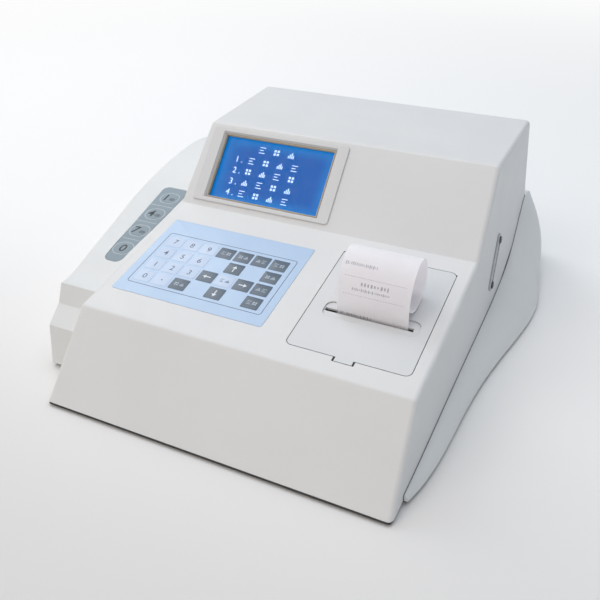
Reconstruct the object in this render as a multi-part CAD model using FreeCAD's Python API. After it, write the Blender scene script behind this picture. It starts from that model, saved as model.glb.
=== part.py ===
import FreeCAD, Part
import math
import os

V = FreeCAD.Vector
X_AXIS = V(1, 0, 0)
Y_AXIS = V(0, 1, 0)
Z_AXIS = V(0, 0, 1)

# A bench-top semi-automatic chemistry analyzer, in millimetres.
# While it is modelled, x = 0 is the console's middle, y = 0 its front foot and z = 0 the bench.
# At the end everything moves so that the origin is the middle of the whole footprint.

# Console outline, seen from the side
front_run = 57.3
deck_front_height = 65.7
deck_run = 155.0
deck_rise = 22.3
panel_run = 59.7
console_height = 148.0
console_depth = 394.0
console_half_width = 147.0
side_flare = 0.02
side_draft = 0.085
shell_wall = 3.0
edge_round = 4.0

# Bottom tray and feet
foot_height = 2.0
foot_radius = 8.0
tray_thickness = 1.5
tray_inset = 0.6
floor_z = foot_height + tray_thickness
post_radius = 3.0
deck_post_radius = 5.0

# Base housing: left wing, rear hump and right apron
base_wall = 2.5
nest_gap = 0.4
wing_front = 44.0
wing_ledge_low = (52.0, 38.0)
wing_ledge_high = (70.0, 48.6)
wing_top_front = (79.5, 63.4)
wing_corner_out = 30.0
nest_overlap = 5.0
wing_round = 6.0
hump_reach = 18.0
base_depth = console_depth + hump_reach
# Sections along the wing: share of its run from front to rear, reach beyond the console, height
wing_sections = (
    (0.0, 35.6, wing_top_front[1]),
    (0.122, 41.9, 69.23),
    (0.263, 49.2, 75.99),
    (0.405, 56.5, 82.75),
    (0.528, 60.0, 88.65),
    (0.663, 59.8, 95.1),
    (0.783, 55.0, 98.4),
    (0.88, 49.2, 90.0),
    (0.952, 42.0, 76.0),
    (0.985, 36.0, 69.5),
    (1.0, 26.0, 65.0),
)
hump_height = 74.0
hump_round = 9.0
# Sections along the apron, in the same terms
apron_front = 25.0
apron_sections = (
    (0.0, 3.3, 8.0),
    (0.245, 16.0, 12.0),
    (0.491, 28.8, 16.0),
    (0.726, 40.6, 24.0),
    (0.845, 33.0, 44.0),
    (0.938, 24.5, 70.0),
    (1.0, 13.0, 66.0),
)
apron_lip = 1.6
apron_overlap = 9.0
service_half_width = console_half_width - 27.0
service_height = 64.0

# Keypad on the deck, in deck coordinates (x, distance along the deck)
keypad_x = (15.4 - console_half_width, 9.9)
keypad_s = (26.8, 129.2)
keypad_round = 3.0
overlay_thickness = 0.6
overlay_stand = 0.2
tail_slot = (22.0, 1.6)

# Key strip on the wing
strip_front = 119.0
strip_rear = 238.0
strip_front_x = -console_half_width - 21.3
strip_rear_x = -console_half_width - 32.6
strip_inner_x = -console_half_width - 3.0
strip_round = 7.0

# Display in panel coordinates (x, distance up the panel)
bezel_x = (14.0 - console_half_width, 7.0)
bezel_t = (5.6, 80.7)
bezel_stand = 1.4
bezel_round = 3.0
view_x = (bezel_x[0] + 13.2, bezel_x[1] - 12.8)
view_t = (bezel_t[0] + 5.5, bezel_t[1] - 5.7)
view_bevel = 2.0
bezel_lip = 6.0
window_thickness = 1.5
module_depth = 7.5
module_border = 6.5
board_thickness = 1.6

# Printer lid in deck coordinates
lid_width = 97.0
lid_x = (console_half_width - 15.8 - lid_width, console_half_width - 15.8)
lid_s = (18.4, 137.6)
lid_round = 5.0
lid_gap = 0.5
lid_rest_gap = 0.3
lid_rib = 4.0
lid_rib_wall = 1.6
lid_rib_inset = 6.8
hinge_back = 3.6
hinge_pin_radius = 0.8
hinge_pin_reach = 2.4
hinge_pin_grip = 5.0
running_gap = 0.05
dish_x = (lid_x[0] + 11.8, lid_x[1] - 8.2)
dish_s = (56.5, 73.5)
dish_depth = 1.0
dish_round = 6.0
slot_x = (lid_x[0] + 12.8, lid_x[1] - 12.7)
slot_s = (62.6, 66.2)
tab_x = (lid_x[0] + 40.8, lid_x[0] + 54.8)
tab_reach = 4.2
tab_thickness = 1.6
tab_pocket = 1.6

# Printer mechanism in deck coordinates (distance along, height above the deck)
platen_axis = (60.0, -12.0)
platen_radius = 5.2
axle_radius = 2.0
bush_radius = 3.2
paper_width = 57.5
paper_x = (lid_x[0] + 22.3, lid_x[0] + 22.3 + paper_width)
paper_thickness = 0.2
lug_x = (lid_x[0] + 15.4, lid_x[0] + 17.8)
lug_far_x = (lid_x[1] - 12.6, lid_x[1] - 10.2)
gear_module = 0.6
platen_teeth = 20
idler_teeth = 20
pinion_teeth = 12
gear_x = (lid_x[0] + 11.2, lid_x[0] + 14.0)
gear_backlash = 0.08
tub_x = (lid_x[0] + 3.8, lid_x[1] - 3.2)
tub_front = 24.0
tub_front_depth = 44.0
tub_wall = 2.0
tub_flange = 3.0
tub_flange_thickness = 2.0
roll_axis = (103.0, -36.0)
roll_radius = 22.0
core_radius = 7.0
spindle_radius = 5.8
journal_radius = 3.0
cradle_radius = 27.0
cradle_thickness = 4.0
motor_radius = 8.0
motor_length = 22.0

# Paper path under the lid and the slip's curl above it, in deck coordinates
web_bend = 4.0
web_turn_height = -30.0
web_clearance = 0.5
slip_start = -6.6
slip_curl = (
    (66.6, 14.0), (71.5, 27.5), (80.5, 37.0), (92.0, 41.0), (103.0, 37.0), (109.5, 26.0),
    (109.0, 13.0), (103.0, 4.0), (94.0, 1.0), (84.0, 1.6), (75.0, 5.6),
)

# Optical bench
bench_x = (16.0 - console_half_width, 139.0 - console_half_width)
bench_y = (console_depth - 110.0, console_depth - 26.0)
bench_z = 14.0
bench_thickness = 3.0
optical_y = bench_y[0] + 18.0
optical_z = 62.0
wheel_radius = 29.0
wheel_thickness = 4.0
wheel_offset = 21.0
filter_count = 8
filter_radius = 5.0

# Peristaltic pump
pump_centre = (24.0, console_depth - 68.0)
pump_z = 58.0
pump_track_radius = 20.6
pump_tube_radius = 1.6
pump_roller_circle = 12.0
pump_roller_radius = 4.9
pump_rollers = 3

# Power supply, main board and fan
supply_x = (console_half_width - 89.0, console_half_width - 11.0)
supply_y = (console_depth - 158.0, console_depth - 20.0)
supply_height = 38.0
main_board_x = (17.0 - console_half_width, 169.0 - console_half_width)
main_board_y = (66.0, 204.0)
main_board_z = 13.0
fan_size = 60.0
fan_thickness = 15.0
fan_centre = (console_half_width - 63.0, console_height - 38.0)
fan_blades = 7
grille_radius = 26.0
grille_pitch = 6.0
grille_slot = 3.0

# Rear panel
rear_panel_x = (console_half_width - 125.0, console_half_width - 15.0)
rear_panel_z = (14.0, 60.0)
rear_panel_thickness = 1.5
inlet_centre = (rear_panel_x[0] + 22.0, 37.0)
inlet_size = (27.0, 20.0)
inlet_depth = 17.0
switch_centre = (rear_panel_x[0] + 54.0, 37.0)
switch_size = (13.0, 19.0)
rocker_travel = 10.0
serial_centre = (rear_panel_x[0] + 86.0, 37.0)
serial_size = (17.0, 8.4)

# Tube clip on the right side, in side coordinates (y, z)
clip_low = (256.0, 43.0)
clip_high = (279.5, 76.5)
clip_radius = 5.5
clip_thickness = 1.6
grip_points = ((console_depth - 96.0, 23.0), (console_depth - 27.0, 30.0), (console_depth - 27.0, 45.0))
grip_depth = 1.6

screw_radius = 1.5
screw_head = 3.0
screw_head_height = 1.4

deck_angle = math.degrees(math.atan2(deck_rise, deck_run))
panel_rise = console_height - deck_front_height - deck_rise
panel_angle = math.degrees(math.atan2(panel_rise, panel_run))

DECK = FreeCAD.Placement(V(0, front_run, deck_front_height), FreeCAD.Rotation(X_AXIS, deck_angle))
PANEL = FreeCAD.Placement(
    V(0, front_run + deck_run, deck_front_height + deck_rise), FreeCAD.Rotation(X_AXIS, panel_angle)
)
WING = FreeCAD.Placement(V(0, wing_top_front[0], wing_top_front[1]), FreeCAD.Rotation(X_AXIS, deck_angle))


# Helpers for shapes

def box(x, y, z):
    """A block between pairs of limits."""
    return Part.makeBox(x[1] - x[0], y[1] - y[0], z[1] - z[0], V(x[0], y[0], z[0]))


def rounded_box(x, y, z, radius):
    """A block with its four upright edges rounded."""
    block = box(x, y, z)
    return block.makeFillet(radius, upright_edges(block))


def upright_edges(block):
    """A block's straight edges along z."""
    return [edge for edge in block.Edges if edge.BoundBox.ZLength > 0.999 * edge.Length]


def rod(radius, start, end):
    """A cylinder from one point to another."""
    line = V(*end) - V(*start)
    return Part.makeCylinder(radius, line.Length, V(*start), line)


def sleeve(outer, inner, start, end):
    """A tube from one point to another."""
    return rod(outer, start, end).cut(rod(inner, start, end))


def prism_x(points, x):
    """A closed outline of (y, z) points, drawn along x."""
    wire = Part.makePolygon([V(x[0], y, z) for y, z in points] + [V(x[0], *points[0])])
    return Part.Face(wire).extrude(V(x[1] - x[0], 0, 0))


def prism_z(points, z):
    """A closed outline of (x, y) points, drawn upwards."""
    wire = Part.makePolygon([V(px, py, z[0]) for px, py in points] + [V(*points[0], z[0])])
    return Part.Face(wire).extrude(V(0, 0, z[1] - z[0]))


def line(start, end):
    return Part.LineSegment(start, end).toShape()


def arc(start, middle, end):
    return Part.Arc(start, middle, end).toShape()


def inset_outline(points, distance):
    """Move each side of an anticlockwise outline inwards and meet its neighbours again."""
    moved = []
    count = len(points)
    for i in range(count):
        a, b, c = points[i - 1], points[i], points[(i + 1) % count]
        moved.append(meet(shifted(a, b, distance), shifted(b, c, distance)))
    return moved


def shifted(a, b, distance):
    """The line from a to b moved to its left, as a point and a direction."""
    length = math.hypot(b[0] - a[0], b[1] - a[1])
    dx, dy = (b[0] - a[0]) / length, (b[1] - a[1]) / length
    return (a[0] - dy * distance, a[1] + dx * distance), (dx, dy)


def meet(first, second):
    """Where two lines cross."""
    (p, d), (q, e) = first, second
    t = ((q[0] - p[0]) * e[1] - (q[1] - p[1]) * e[0]) / (d[0] * e[1] - d[1] * e[0])
    return p[0] + t * d[0], p[1] + t * d[1]


def fuse(shapes):
    """Join overlapping solids into one clean solid."""
    return shapes[0].multiFuse(shapes[1:]).removeSplitter() if len(shapes) > 1 else shapes[0]


def group(shapes):
    return Part.makeCompound(shapes)


def placed(shape, placement):
    """A copy of a shape, moved from local coordinates to the console's."""
    copy = shape.copy()
    copy.Placement = placement.multiply(copy.Placement)
    return copy


def side_half_width(y, z):
    """Half the console's width at a place on its drafted side."""
    return console_half_width + side_flare * y - side_draft * z


# The console's form

def console_outline():
    """Corners of the console's side view, anticlockwise from the front foot."""
    foot_y = front_run * floor_z / deck_front_height
    return [
        (foot_y, floor_z),
        (console_depth, floor_z),
        (console_depth, console_height),
        (front_run + deck_run + panel_run, console_height),
        (front_run + deck_run, deck_front_height + deck_rise),
        (front_run, deck_front_height),
    ]


def draft_block(inset):
    """The space between the console's two drafted sides."""
    sections = []
    for z in (-10.0, console_height + 12.0):
        front = side_half_width(-10.0, z) - inset
        rear = side_half_width(console_depth + 20.0, z) - inset
        corners = [
            V(-front, -10.0, z),
            V(front, -10.0, z),
            V(rear, console_depth + 20.0, z),
            V(-rear, console_depth + 20.0, z),
        ]
        sections.append(Part.makePolygon(corners + [corners[0]]))
    return Part.makeLoft(sections, True, True)


def console_block(inset):
    """The console as a full block, set in from its outer skin by the given distance."""
    outline = inset_outline(console_outline(), inset)
    if inset:
        slope = front_run / deck_front_height
        drop = 6.0
        outline[0] = (outline[0][0] - slope * (outline[0][1] - floor_z + drop), floor_z - drop)
        outline[1] = (outline[1][0], floor_z - drop)
    block = prism_x(outline, (-200.0, 200.0)).common(draft_block(inset))
    bottom = outline[0][1] + 0.1
    valley = outline[4]
    rounded = []
    for edge in block.Edges:
        ends = [vertex.Point for vertex in edge.Vertexes]
        on_floor = all(point.z < bottom for point in ends)
        in_valley = all(math.hypot(point.y - valley[0], point.z - valley[1]) < 0.1 for point in ends)
        if not (on_floor or in_valley):
            rounded.append(edge)
    return block.makeFillet(edge_round - inset, rounded) if edge_round - inset > 0.1 else block


def lid_outline(margin, h):
    """The lid's rounded plan, grown by a margin, between two heights."""
    x = (lid_x[0] - margin, lid_x[1] + margin)
    s = (lid_s[0] - margin, lid_s[1] + margin)
    return rounded_box(x, s, h, lid_round + margin)


def hinge_line():
    """Place of the lid's hinge in deck coordinates."""
    return lid_s[1] - hinge_back, -shell_wall / 2.0


def console_deck_cuts():
    """What the printer lid, its tab, its pins and the keypad take out of the deck."""
    s, h = hinge_line()
    pin_hole = hinge_pin_radius + running_gap
    reach = hinge_pin_reach + 0.2
    swing = shell_wall / 2.0 + lid_rest_gap
    tab = (tab_x[0] - tab_pocket, tab_x[1] + tab_pocket)
    tail_x = (keypad_x[0] + 60.0, keypad_x[0] + 60.0 + tail_slot[0])
    tail_s = (keypad_s[1] - 8.0, keypad_s[1] - 8.0 + tail_slot[1])
    cuts = [
        lid_outline(lid_gap, (-shell_wall - 2.0, 1.0)),
        box((lid_x[0] - lid_gap, lid_x[1] + lid_gap), (s - 2.0, s + swing), (-shell_wall - 2.0, 1.0)),
        rod(pin_hole, (lid_x[0] - lid_gap - reach, s, h), (lid_x[0], s, h)),
        rod(pin_hole, (lid_x[1], s, h), (lid_x[1] + lid_gap + reach, s, h)),
        box(tab, (lid_s[0] - tab_reach - lid_gap, lid_s[0]), (-tab_thickness - 0.8, 1.0)),
        rounded_box(keypad_x, keypad_s, (-overlay_thickness, 1.0), keypad_round),
        box(tail_x, tail_s, (-shell_wall - 2.0, 0.0)),
    ]
    return [placed(cut, DECK) for cut in cuts]


def display_opening():
    """The hole for the display bezel's lip, in panel coordinates."""
    x = (bezel_x[0] + module_border, bezel_x[1] - module_border)
    t = (bezel_t[0] + module_border / 2.0, bezel_t[1] - module_border / 2.0)
    return x, t


def console_rear_cuts():
    """Fan grille above the hump and the service window behind it."""
    cuts = [
        box(
            (-service_half_width, service_half_width),
            (console_depth - 2.0 * shell_wall, console_depth + 2.0),
            (floor_z - 10.0, service_height),
        )
    ]
    rows = int(grille_radius // grille_pitch)
    for row in range(-rows, rows + 1):
        height = row * grille_pitch
        half = math.sqrt(grille_radius ** 2 - height ** 2)
        cuts.append(
            box(
                (fan_centre[0] - half, fan_centre[0] + half),
                (console_depth - 2.0 * shell_wall, console_depth + 1.0),
                (fan_centre[1] + height - grille_slot / 2.0, fan_centre[1] + height + grille_slot / 2.0),
            )
        )
    return cuts


def side_placement():
    """Local axes of the console's right side: x along y, y upwards, z out of the side."""
    out = V(1, -side_flare, side_draft)
    out.normalize()
    along = V(side_flare, 1, 0)
    along.normalize()
    up = out.cross(along)
    return FreeCAD.Placement(V(side_half_width(0, 0), 0, 0), FreeCAD.Rotation(along, up, out, "ZXY"))


def grip_recess():
    """The tapering finger recess low on the right side."""
    return placed(prism_z(grip_points, (-grip_depth, 5.0)), side_placement())


def screw_places():
    """Where the screws come up through the tray into the console's posts."""
    left, right, rear = -console_half_width, console_half_width, console_depth - 12.0
    front = [(left + 23.0, 40.0), (28.0, 40.0), (right - 19.0, 40.0)]
    return front + [(left + 15.0, rear), (48.0, rear), (right - 15.0, rear)]


def console_cover():
    """The console's moulded shell with its screw posts."""
    inner = console_block(shell_wall)
    shell = console_block(0).cut(inner)
    posts = [
        rod(deck_post_radius, (x, y, floor_z), (x, y, console_height)).common(console_block(shell_wall / 2.0))
        for x, y in screw_places()
    ]
    holders = [
        placed(rod(2.4, (x, t, -bezel_lip - module_depth), (x, t, -shell_wall / 2.0)), PANEL)
        for x in (bezel_x[0] + 1.2, bezel_x[1] - 1.2)
        for t in (bezel_t[0] + 3.0, bezel_t[1] - 6.0)
    ]
    shell = fuse([shell] + posts + holders)
    holes = [rod(screw_radius, (x, y, floor_z - 1.0), (x, y, floor_z + 9.0)) for x, y in screw_places()]
    x, t = display_opening()
    opening = placed(box(x, t, (-2.0 * shell_wall, 2.0)), PANEL)
    return shell.cut(console_deck_cuts() + console_rear_cuts() + holes + [opening, grip_recess()])


# The base housing

def wing_block(inset):
    """The left wing: a stepped front and a lofted body that bulges out and sinks to the rear."""
    low = floor_z - (6.0 if inset else 0.0)
    front, top = wing_top_front
    inner_x, corner_x = nest_overlap - console_half_width, -console_half_width - wing_corner_out
    profile = [
        (wing_front + inset, low),
        (wing_ledge_low[0] + inset, wing_ledge_low[1] - inset),
        (wing_ledge_high[0] + inset, wing_ledge_high[1] - inset),
        (front, top - inset),
        (front, low),
    ]
    plan = [
        (inner_x, wing_front),
        (inner_x, front),
        (-console_half_width - wing_sections[0][1] + inset, front),
        (corner_x + inset, wing_front),
    ]
    nose = prism_x(profile, (-260.0, inner_x)).common(prism_z(plan, (low, console_height)))
    sections = [wing_section(share, out, height, inset, low) for share, out, height in wing_sections]
    return fuse([nose, Part.makeLoft(sections, True, False)])


def wing_section(share, out, height, inset, low):
    """One upright outline across the wing, its outer top corner rounded."""
    y = wing_top_front[0] + share * (base_depth - inset * (share == 1.0) - wing_top_front[0])
    radius = wing_round - inset if share else 0.6
    inner_x = nest_overlap - console_half_width
    side, top = -console_half_width - out + inset, height - inset
    bend = radius * (1.0 - math.sqrt(0.5))
    points = [
        V(inner_x, y, low),
        V(inner_x, y, top),
        V(side + radius, y, top),
        V(side, y, top - radius),
        V(side, y, low),
    ]
    return Part.Wire(
        [
            line(points[0], points[1]),
            line(points[1], points[2]),
            arc(points[2], V(side + bend, y, top - bend), points[3]),
            line(points[3], points[4]),
            line(points[4], points[0]),
        ]
    )


def hump_block(inset):
    """The low hump behind the console, from the wing to the apron."""
    low = floor_z - (6.0 if inset else 0.0)
    block = box(
        (-console_half_width - 3.0, console_half_width - 1.0),
        (console_depth - 20.0, base_depth - inset),
        (low, hump_height - inset),
    )
    rear, top = base_depth - inset - 1.0, hump_height - inset - 1.0
    top_rear = [edge for edge in block.Edges if edge.BoundBox.YMin > rear and edge.BoundBox.ZMin > top]
    return block.makeFillet(hump_round, top_rear)


def apron_block(inset):
    """The right apron: lofted sections that flare to the bench and sweep up into the hump."""
    low = floor_z - (6.0 if inset else 0.0)
    front, rear = apron_front + inset, base_depth - inset
    inner_x = console_half_width - apron_overlap
    sections = []
    for share, out, top in apron_sections:
        y = min(max(apron_front + share * (base_depth - apron_front), front), rear)
        rise = top - inset - low
        start = side_half_width(y, top) + apron_lip - inset
        reach = console_half_width + out - inset
        corner = V(start, y, top - inset)
        middle = V(start + 0.66 * (reach - start), y, low + 0.74 * rise)
        sections.append(
            Part.Wire(
                [
                    line(V(inner_x, y, low), V(inner_x, y, top - inset)),
                    line(V(inner_x, y, top - inset), corner),
                    arc(corner, middle, V(reach, y, low)),
                    line(V(reach, y, low), V(inner_x, y, low)),
                ]
            )
        )
    return Part.makeLoft(sections, True, False)


def strip_outline(margin, h):
    """The side key strip's slanted plan between two heights above the wing's top."""
    slope = math.radians(deck_angle)
    front = (strip_front - wing_top_front[0]) / math.cos(slope) - margin
    rear = (strip_rear - wing_top_front[0]) / math.cos(slope) + margin
    points = [
        (strip_front_x - margin, front),
        (strip_inner_x + margin, front),
        (strip_inner_x + margin, rear),
        (strip_rear_x - margin, rear),
    ]
    block = prism_z(points, h)
    return placed(block.makeFillet(strip_round, upright_edges(block)), WING)


def base_screw_places():
    """Where the screws come up through the tray into the base housing's posts."""
    left, right = -console_half_width, console_half_width
    return [(left - 31.0, 130.0), (left - 35.0, console_depth - 44.0), (right + 19.0, console_depth - 94.0)]


def base_posts():
    """Screw posts inside the wing and the apron."""
    wing_core, apron_core = wing_block(base_wall / 2.0), apron_block(base_wall / 2.0)
    return [
        rod(post_radius + 1.5, (x, y, floor_z), (x, y, 120.0)).common(wing_core if x < 0 else apron_core)
        for x, y in base_screw_places()
    ]


def base_shell():
    """The wider housing that the console nests in: wing, hump and apron in one moulding."""
    outer = fuse([wing_block(0), hump_block(0), apron_block(0)])
    nest = console_block(-nest_gap)
    inner_wall = console_block(-nest_gap - base_wall)
    hollows = [block.cut(inner_wall) for block in (wing_block(base_wall), apron_block(base_wall))]
    hump_hollow = box(
        (-service_half_width, service_half_width),
        (console_depth - 2.0, base_depth - base_wall),
        (floor_z - 1.0, service_height),
    )
    panel_hole = box(
        (rear_panel_x[0] + 4.0, rear_panel_x[1] - 4.0),
        (base_depth - base_wall - 1.0, base_depth + 1.0),
        (rear_panel_z[0] + 4.0, rear_panel_z[1] - 4.0),
    )
    panel_seat = box(rear_panel_x, (base_depth - rear_panel_thickness, base_depth + 1.0), rear_panel_z)
    strip_seat = strip_outline(0, (-overlay_thickness, 2.0))
    shell = outer.cut(hollows + [nest, hump_hollow, panel_hole, panel_seat, strip_seat])
    holes = [rod(screw_radius, (x, y, floor_z - 1.0), (x, y, floor_z + 9.0)) for x, y in base_screw_places()]
    return fuse([shell] + base_posts()).cut(holes)


def tray_outline():
    """The footprint of the whole instrument as one thick block, cut to the tray's height."""
    slab = box((-260, 260), (-10, 600), (foot_height, floor_z))
    forms = (console_block, wing_block, hump_block, apron_block)
    return fuse([form(tray_inset).common(slab) for form in forms])


def foot_places():
    side, rear = console_half_width, console_depth - 10.0
    return [(29.0 - side, 30.0), (side - 29.0, 30.0), (-side - 21.0, rear), (side + 1.0, rear)]


def post_places():
    """Feet of the boards' posts: (x, y, top)."""
    boards = []
    for x in (main_board_x[0] + 6.0, main_board_x[1] - 6.0):
        for y in (main_board_y[0] + 6.0, main_board_y[1] - 6.0):
            boards.append((x, y, main_board_z))
    for x in (bench_x[0] + 7.0, bench_x[1] - 7.0):
        for y in (bench_y[0] + 7.0, bench_y[1] - 7.0):
            boards.append((x, y, bench_z))
    return boards


def base_tray():
    """The steel tray under everything, with pressed posts, vents and screw holes."""
    posts = [rod(post_radius, (x, y, foot_height + 0.2), (x, y, top)) for x, y, top in post_places()]
    vent_y = (supply_y[0] + 14.0, supply_y[0] + 54.0)
    vents = [
        rounded_box((x, x + 3.0), vent_y, (foot_height - 1, floor_z + 1), 1.4)
        for x in (supply_x[0] + 12.0 + 10.0 * i for i in range(6))
    ]
    places = screw_places() + base_screw_places()
    holes = [rod(screw_radius + 0.2, (x, y, 0), (x, y, floor_z + 1)) for x, y in places]
    return fuse([tray_outline()] + posts).cut(vents + holes)


def rubber_feet():
    """Four stick-on pads with a chamfered lower rim."""
    pads = []
    for x, y in foot_places():
        pad = Part.makeCylinder(foot_radius, foot_height, V(x, y, 0))
        rim = [edge for edge in pad.Edges if edge.BoundBox.ZMax < 0.1 and edge.Length > 10]
        pads.append(pad.makeChamfer(0.6, rim))
    return group(pads)


def cover_screws():
    """Pan-head screws from below through the tray into the posts of both mouldings."""
    screws = []
    for x, y in screw_places() + base_screw_places():
        head = Part.makeCylinder(screw_head, screw_head_height, V(x, y, foot_height - screw_head_height))
        shank = rod(screw_radius - 0.05, (x, y, foot_height - 0.1), (x, y, floor_z + 8.0))
        socket = rod(1.0, (x, y, 0), (x, y, foot_height - 0.6))
        screws.append(fuse([head, shank]).cut(socket))
    return group(screws)


# Display and keypads

def display_bezel():
    """The raised frame around the display, with a bevelled window and a lip into the panel."""
    x, t = display_opening()
    fit = 0.2
    plate = rounded_box(bezel_x, bezel_t, (0.0, bezel_stand), bezel_round)
    rim = [e for e in plate.Edges if e.BoundBox.ZMin > bezel_stand - 0.01]
    plate = plate.makeChamfer(0.5, rim)
    lip = box((x[0] + fit, x[1] - fit), (t[0] + fit, t[1] - fit), (-bezel_lip + window_thickness, 0.5))
    hole = box(view_x, view_t, (-bezel_lip, 3.0))
    wide = Part.makePolygon(corner_loop(view_x, view_t, view_bevel, bezel_stand + 0.01))
    narrow = Part.makePolygon(corner_loop(view_x, view_t, 0.0, -view_bevel))
    return placed(fuse([plate, lip]).cut([hole, Part.makeLoft([wide, narrow], True, True)]), PANEL)


def corner_loop(x, t, margin, h):
    """Corners of a rectangle grown by a margin, closed."""
    corners = [
        V(x[0] - margin, t[0] - margin, h),
        V(x[1] + margin, t[0] - margin, h),
        V(x[1] + margin, t[1] + margin, h),
        V(x[0] - margin, t[1] + margin, h),
    ]
    return corners + [corners[0]]


def display_window():
    """Clear sheet bonded behind the bezel's lip."""
    x = (view_x[0] - 3.0, view_x[1] + 3.0)
    t = (view_t[0] - 1.5, view_t[1] + 1.5)
    return placed(box(x, t, (-bezel_lip, -bezel_lip + window_thickness)), PANEL)


def module_limits():
    """The display module's frame in panel coordinates."""
    return (view_x[0] - module_border, view_x[1] + module_border), (view_t[0] - 4.5, view_t[1] + 4.5)


def display_module():
    """Liquid-crystal cell in a folded metal frame."""
    x, t = module_limits()
    frame = box(x, t, (-bezel_lip - module_depth, -bezel_lip))
    return placed(frame.cut(box(view_x, view_t, (-bezel_lip - 0.8, -bezel_lip + 1.0))), PANEL)


def display_board():
    """Controller board behind the cell, screwed to the console's four posts."""
    x = (bezel_x[0] - 2.0, bezel_x[1] + 2.0)
    t = (bezel_t[0], bezel_t[1] - 2.0)
    top = -bezel_lip - module_depth
    board = box(x, t, (top - board_thickness, top))
    chips = [box((a, a + 14.0), (b, b + 14.0), (top - board_thickness - 2.0, top - board_thickness + 0.2))
             for a in (x[0] + 25.0, x[0] + 63.0, x[0] + 101.0) for b in (18.0, 50.0)]
    return placed(fuse([board] + chips), PANEL)


def keypad_overlay():
    """Printed membrane stuck in the deck's shallow recess."""
    fit = 0.15
    x = (keypad_x[0] + fit, keypad_x[1] - fit)
    s = (keypad_s[0] + fit, keypad_s[1] - fit)
    return placed(rounded_box(x, s, (-overlay_thickness, overlay_stand), keypad_round - fit), DECK)


def side_keypad_overlay():
    """Four-key strip stuck in the wing's recess."""
    return strip_outline(-0.15, (-overlay_thickness, overlay_stand))


# Printer

def printer_lid():
    """Lid with a paper slot in a shallow dish, stiffening ribs, platen lugs and a finger tab."""
    s, h = hinge_line()
    plate = lid_outline(0, (-shell_wall, 0))
    rib_out = (
        (lid_x[0] + lid_rib_inset, lid_x[1] - lid_rib_inset),
        (lid_s[0] + lid_rib_inset + 4.0, lid_s[1] - lid_rib_inset - 6.0),
    )
    rib_in = [(limits[0] + lid_rib_wall, limits[1] - lid_rib_wall) for limits in rib_out]
    rib = box(*rib_out, (-shell_wall - lid_rib, -shell_wall + 0.5)).cut(
        box(*rib_in, (-shell_wall - lid_rib - 1, -shell_wall + 1))
    )
    lugs = [platen_lug(x) for x in (lug_x, lug_far_x)]
    tab = box(tab_x, (lid_s[0] - tab_reach, lid_s[0] + 1.0), (-tab_thickness, 0))
    dish = rounded_box(dish_x, dish_s, (-dish_depth, 1.0), dish_round)
    slot = box(slot_x, slot_s, (-shell_wall - 1.0, 1.0))
    bores = [
        rod(hinge_pin_radius + 0.01, (lid_x[0] - 1.0, s, h), (lid_x[0] + hinge_pin_grip, s, h)),
        rod(hinge_pin_radius + 0.01, (lid_x[1] - hinge_pin_grip, s, h), (lid_x[1] + 1.0, s, h)),
        rod(bush_radius + 0.01, (lug_x[0] - 1.0, *platen_axis), (lug_x[1] + 1.0, *platen_axis)),
        rod(bush_radius + 0.01, (lug_far_x[0] - 1.0, *platen_axis), (lug_far_x[1] + 1.0, *platen_axis)),
    ]
    return placed(fuse([plate, rib, tab] + lugs).cut([dish, slot] + bores), DECK)


def platen_lug(x):
    """A round-ended ear under the lid for one end of the platen."""
    s, h = platen_axis
    radius = bush_radius + 2.0
    neck = box(x, (s - radius, s + radius), (h, -shell_wall + 0.5))
    return fuse([rod(radius, (x[0], s, h), (x[1], s, h)), neck])


def lid_hinge_pins():
    """Two short steel pins, tight in the lid and free in the deck."""
    s, h = hinge_line()
    reach = lid_gap + hinge_pin_reach
    return group(
        [
            placed(rod(hinge_pin_radius, (lid_x[0] - reach, s, h), (lid_x[0] + hinge_pin_grip, s, h)), DECK),
            placed(rod(hinge_pin_radius, (lid_x[1] - hinge_pin_grip, s, h), (lid_x[1] + reach, s, h)), DECK),
        ]
    )


def platen_bushes():
    """Plain bearings in the lid's lugs."""
    bore = axle_radius + running_gap
    return group(
        [
            placed(sleeve(bush_radius, bore, (x[0], *platen_axis), (x[1], *platen_axis)), DECK)
            for x in (lug_x, lug_far_x)
        ]
    )


def platen_axle():
    """Steel axle with a flat that drives the gear."""
    axle = rod(axle_radius, (gear_x[0] - 0.4, *platen_axis), (lug_far_x[1] + 1.2, *platen_axis))
    flat = box(
        (gear_x[0] - 1.0, gear_x[1]),
        (platen_axis[0] - 3.0, platen_axis[0] + 3.0),
        (platen_axis[1] + axle_radius - 0.5, platen_axis[1] + 3.0),
    )
    return placed(axle.cut(flat), DECK)


def platen_rubber():
    """Rubber sleeve that grips the paper."""
    near, far = paper_x[0] - 0.8, paper_x[1] + 0.8
    return placed(sleeve(platen_radius, axle_radius + 0.01, (near, *platen_axis), (far, *platen_axis)), DECK)


def gear(teeth, axis, x, bore, turn):
    """A spur gear about a line along x, with a tooth at the given turn in degrees from the deck's line."""
    pitch = gear_module * teeth / 2.0
    step = 2.0 * math.pi / teeth
    half = step / 4.0 - gear_backlash / pitch / 2.0
    tip, root = pitch + 0.9 * gear_module, pitch - 1.2 * gear_module
    points = []
    for tooth in range(teeth):
        middle = math.radians(turn) + tooth * step
        points.append((root, middle - half * 1.35))
        points.append((tip, middle - half * 0.45))
        points.append((tip, middle + half * 0.45))
        points.append((root, middle + half * 1.35))
    outline = [(axis[0] + r * math.cos(a), axis[1] + r * math.sin(a)) for r, a in points]
    return prism_x(outline, x).cut(rod(bore, (x[0] - 1.0, *axis), (x[1] + 1.0, *axis)))


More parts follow.
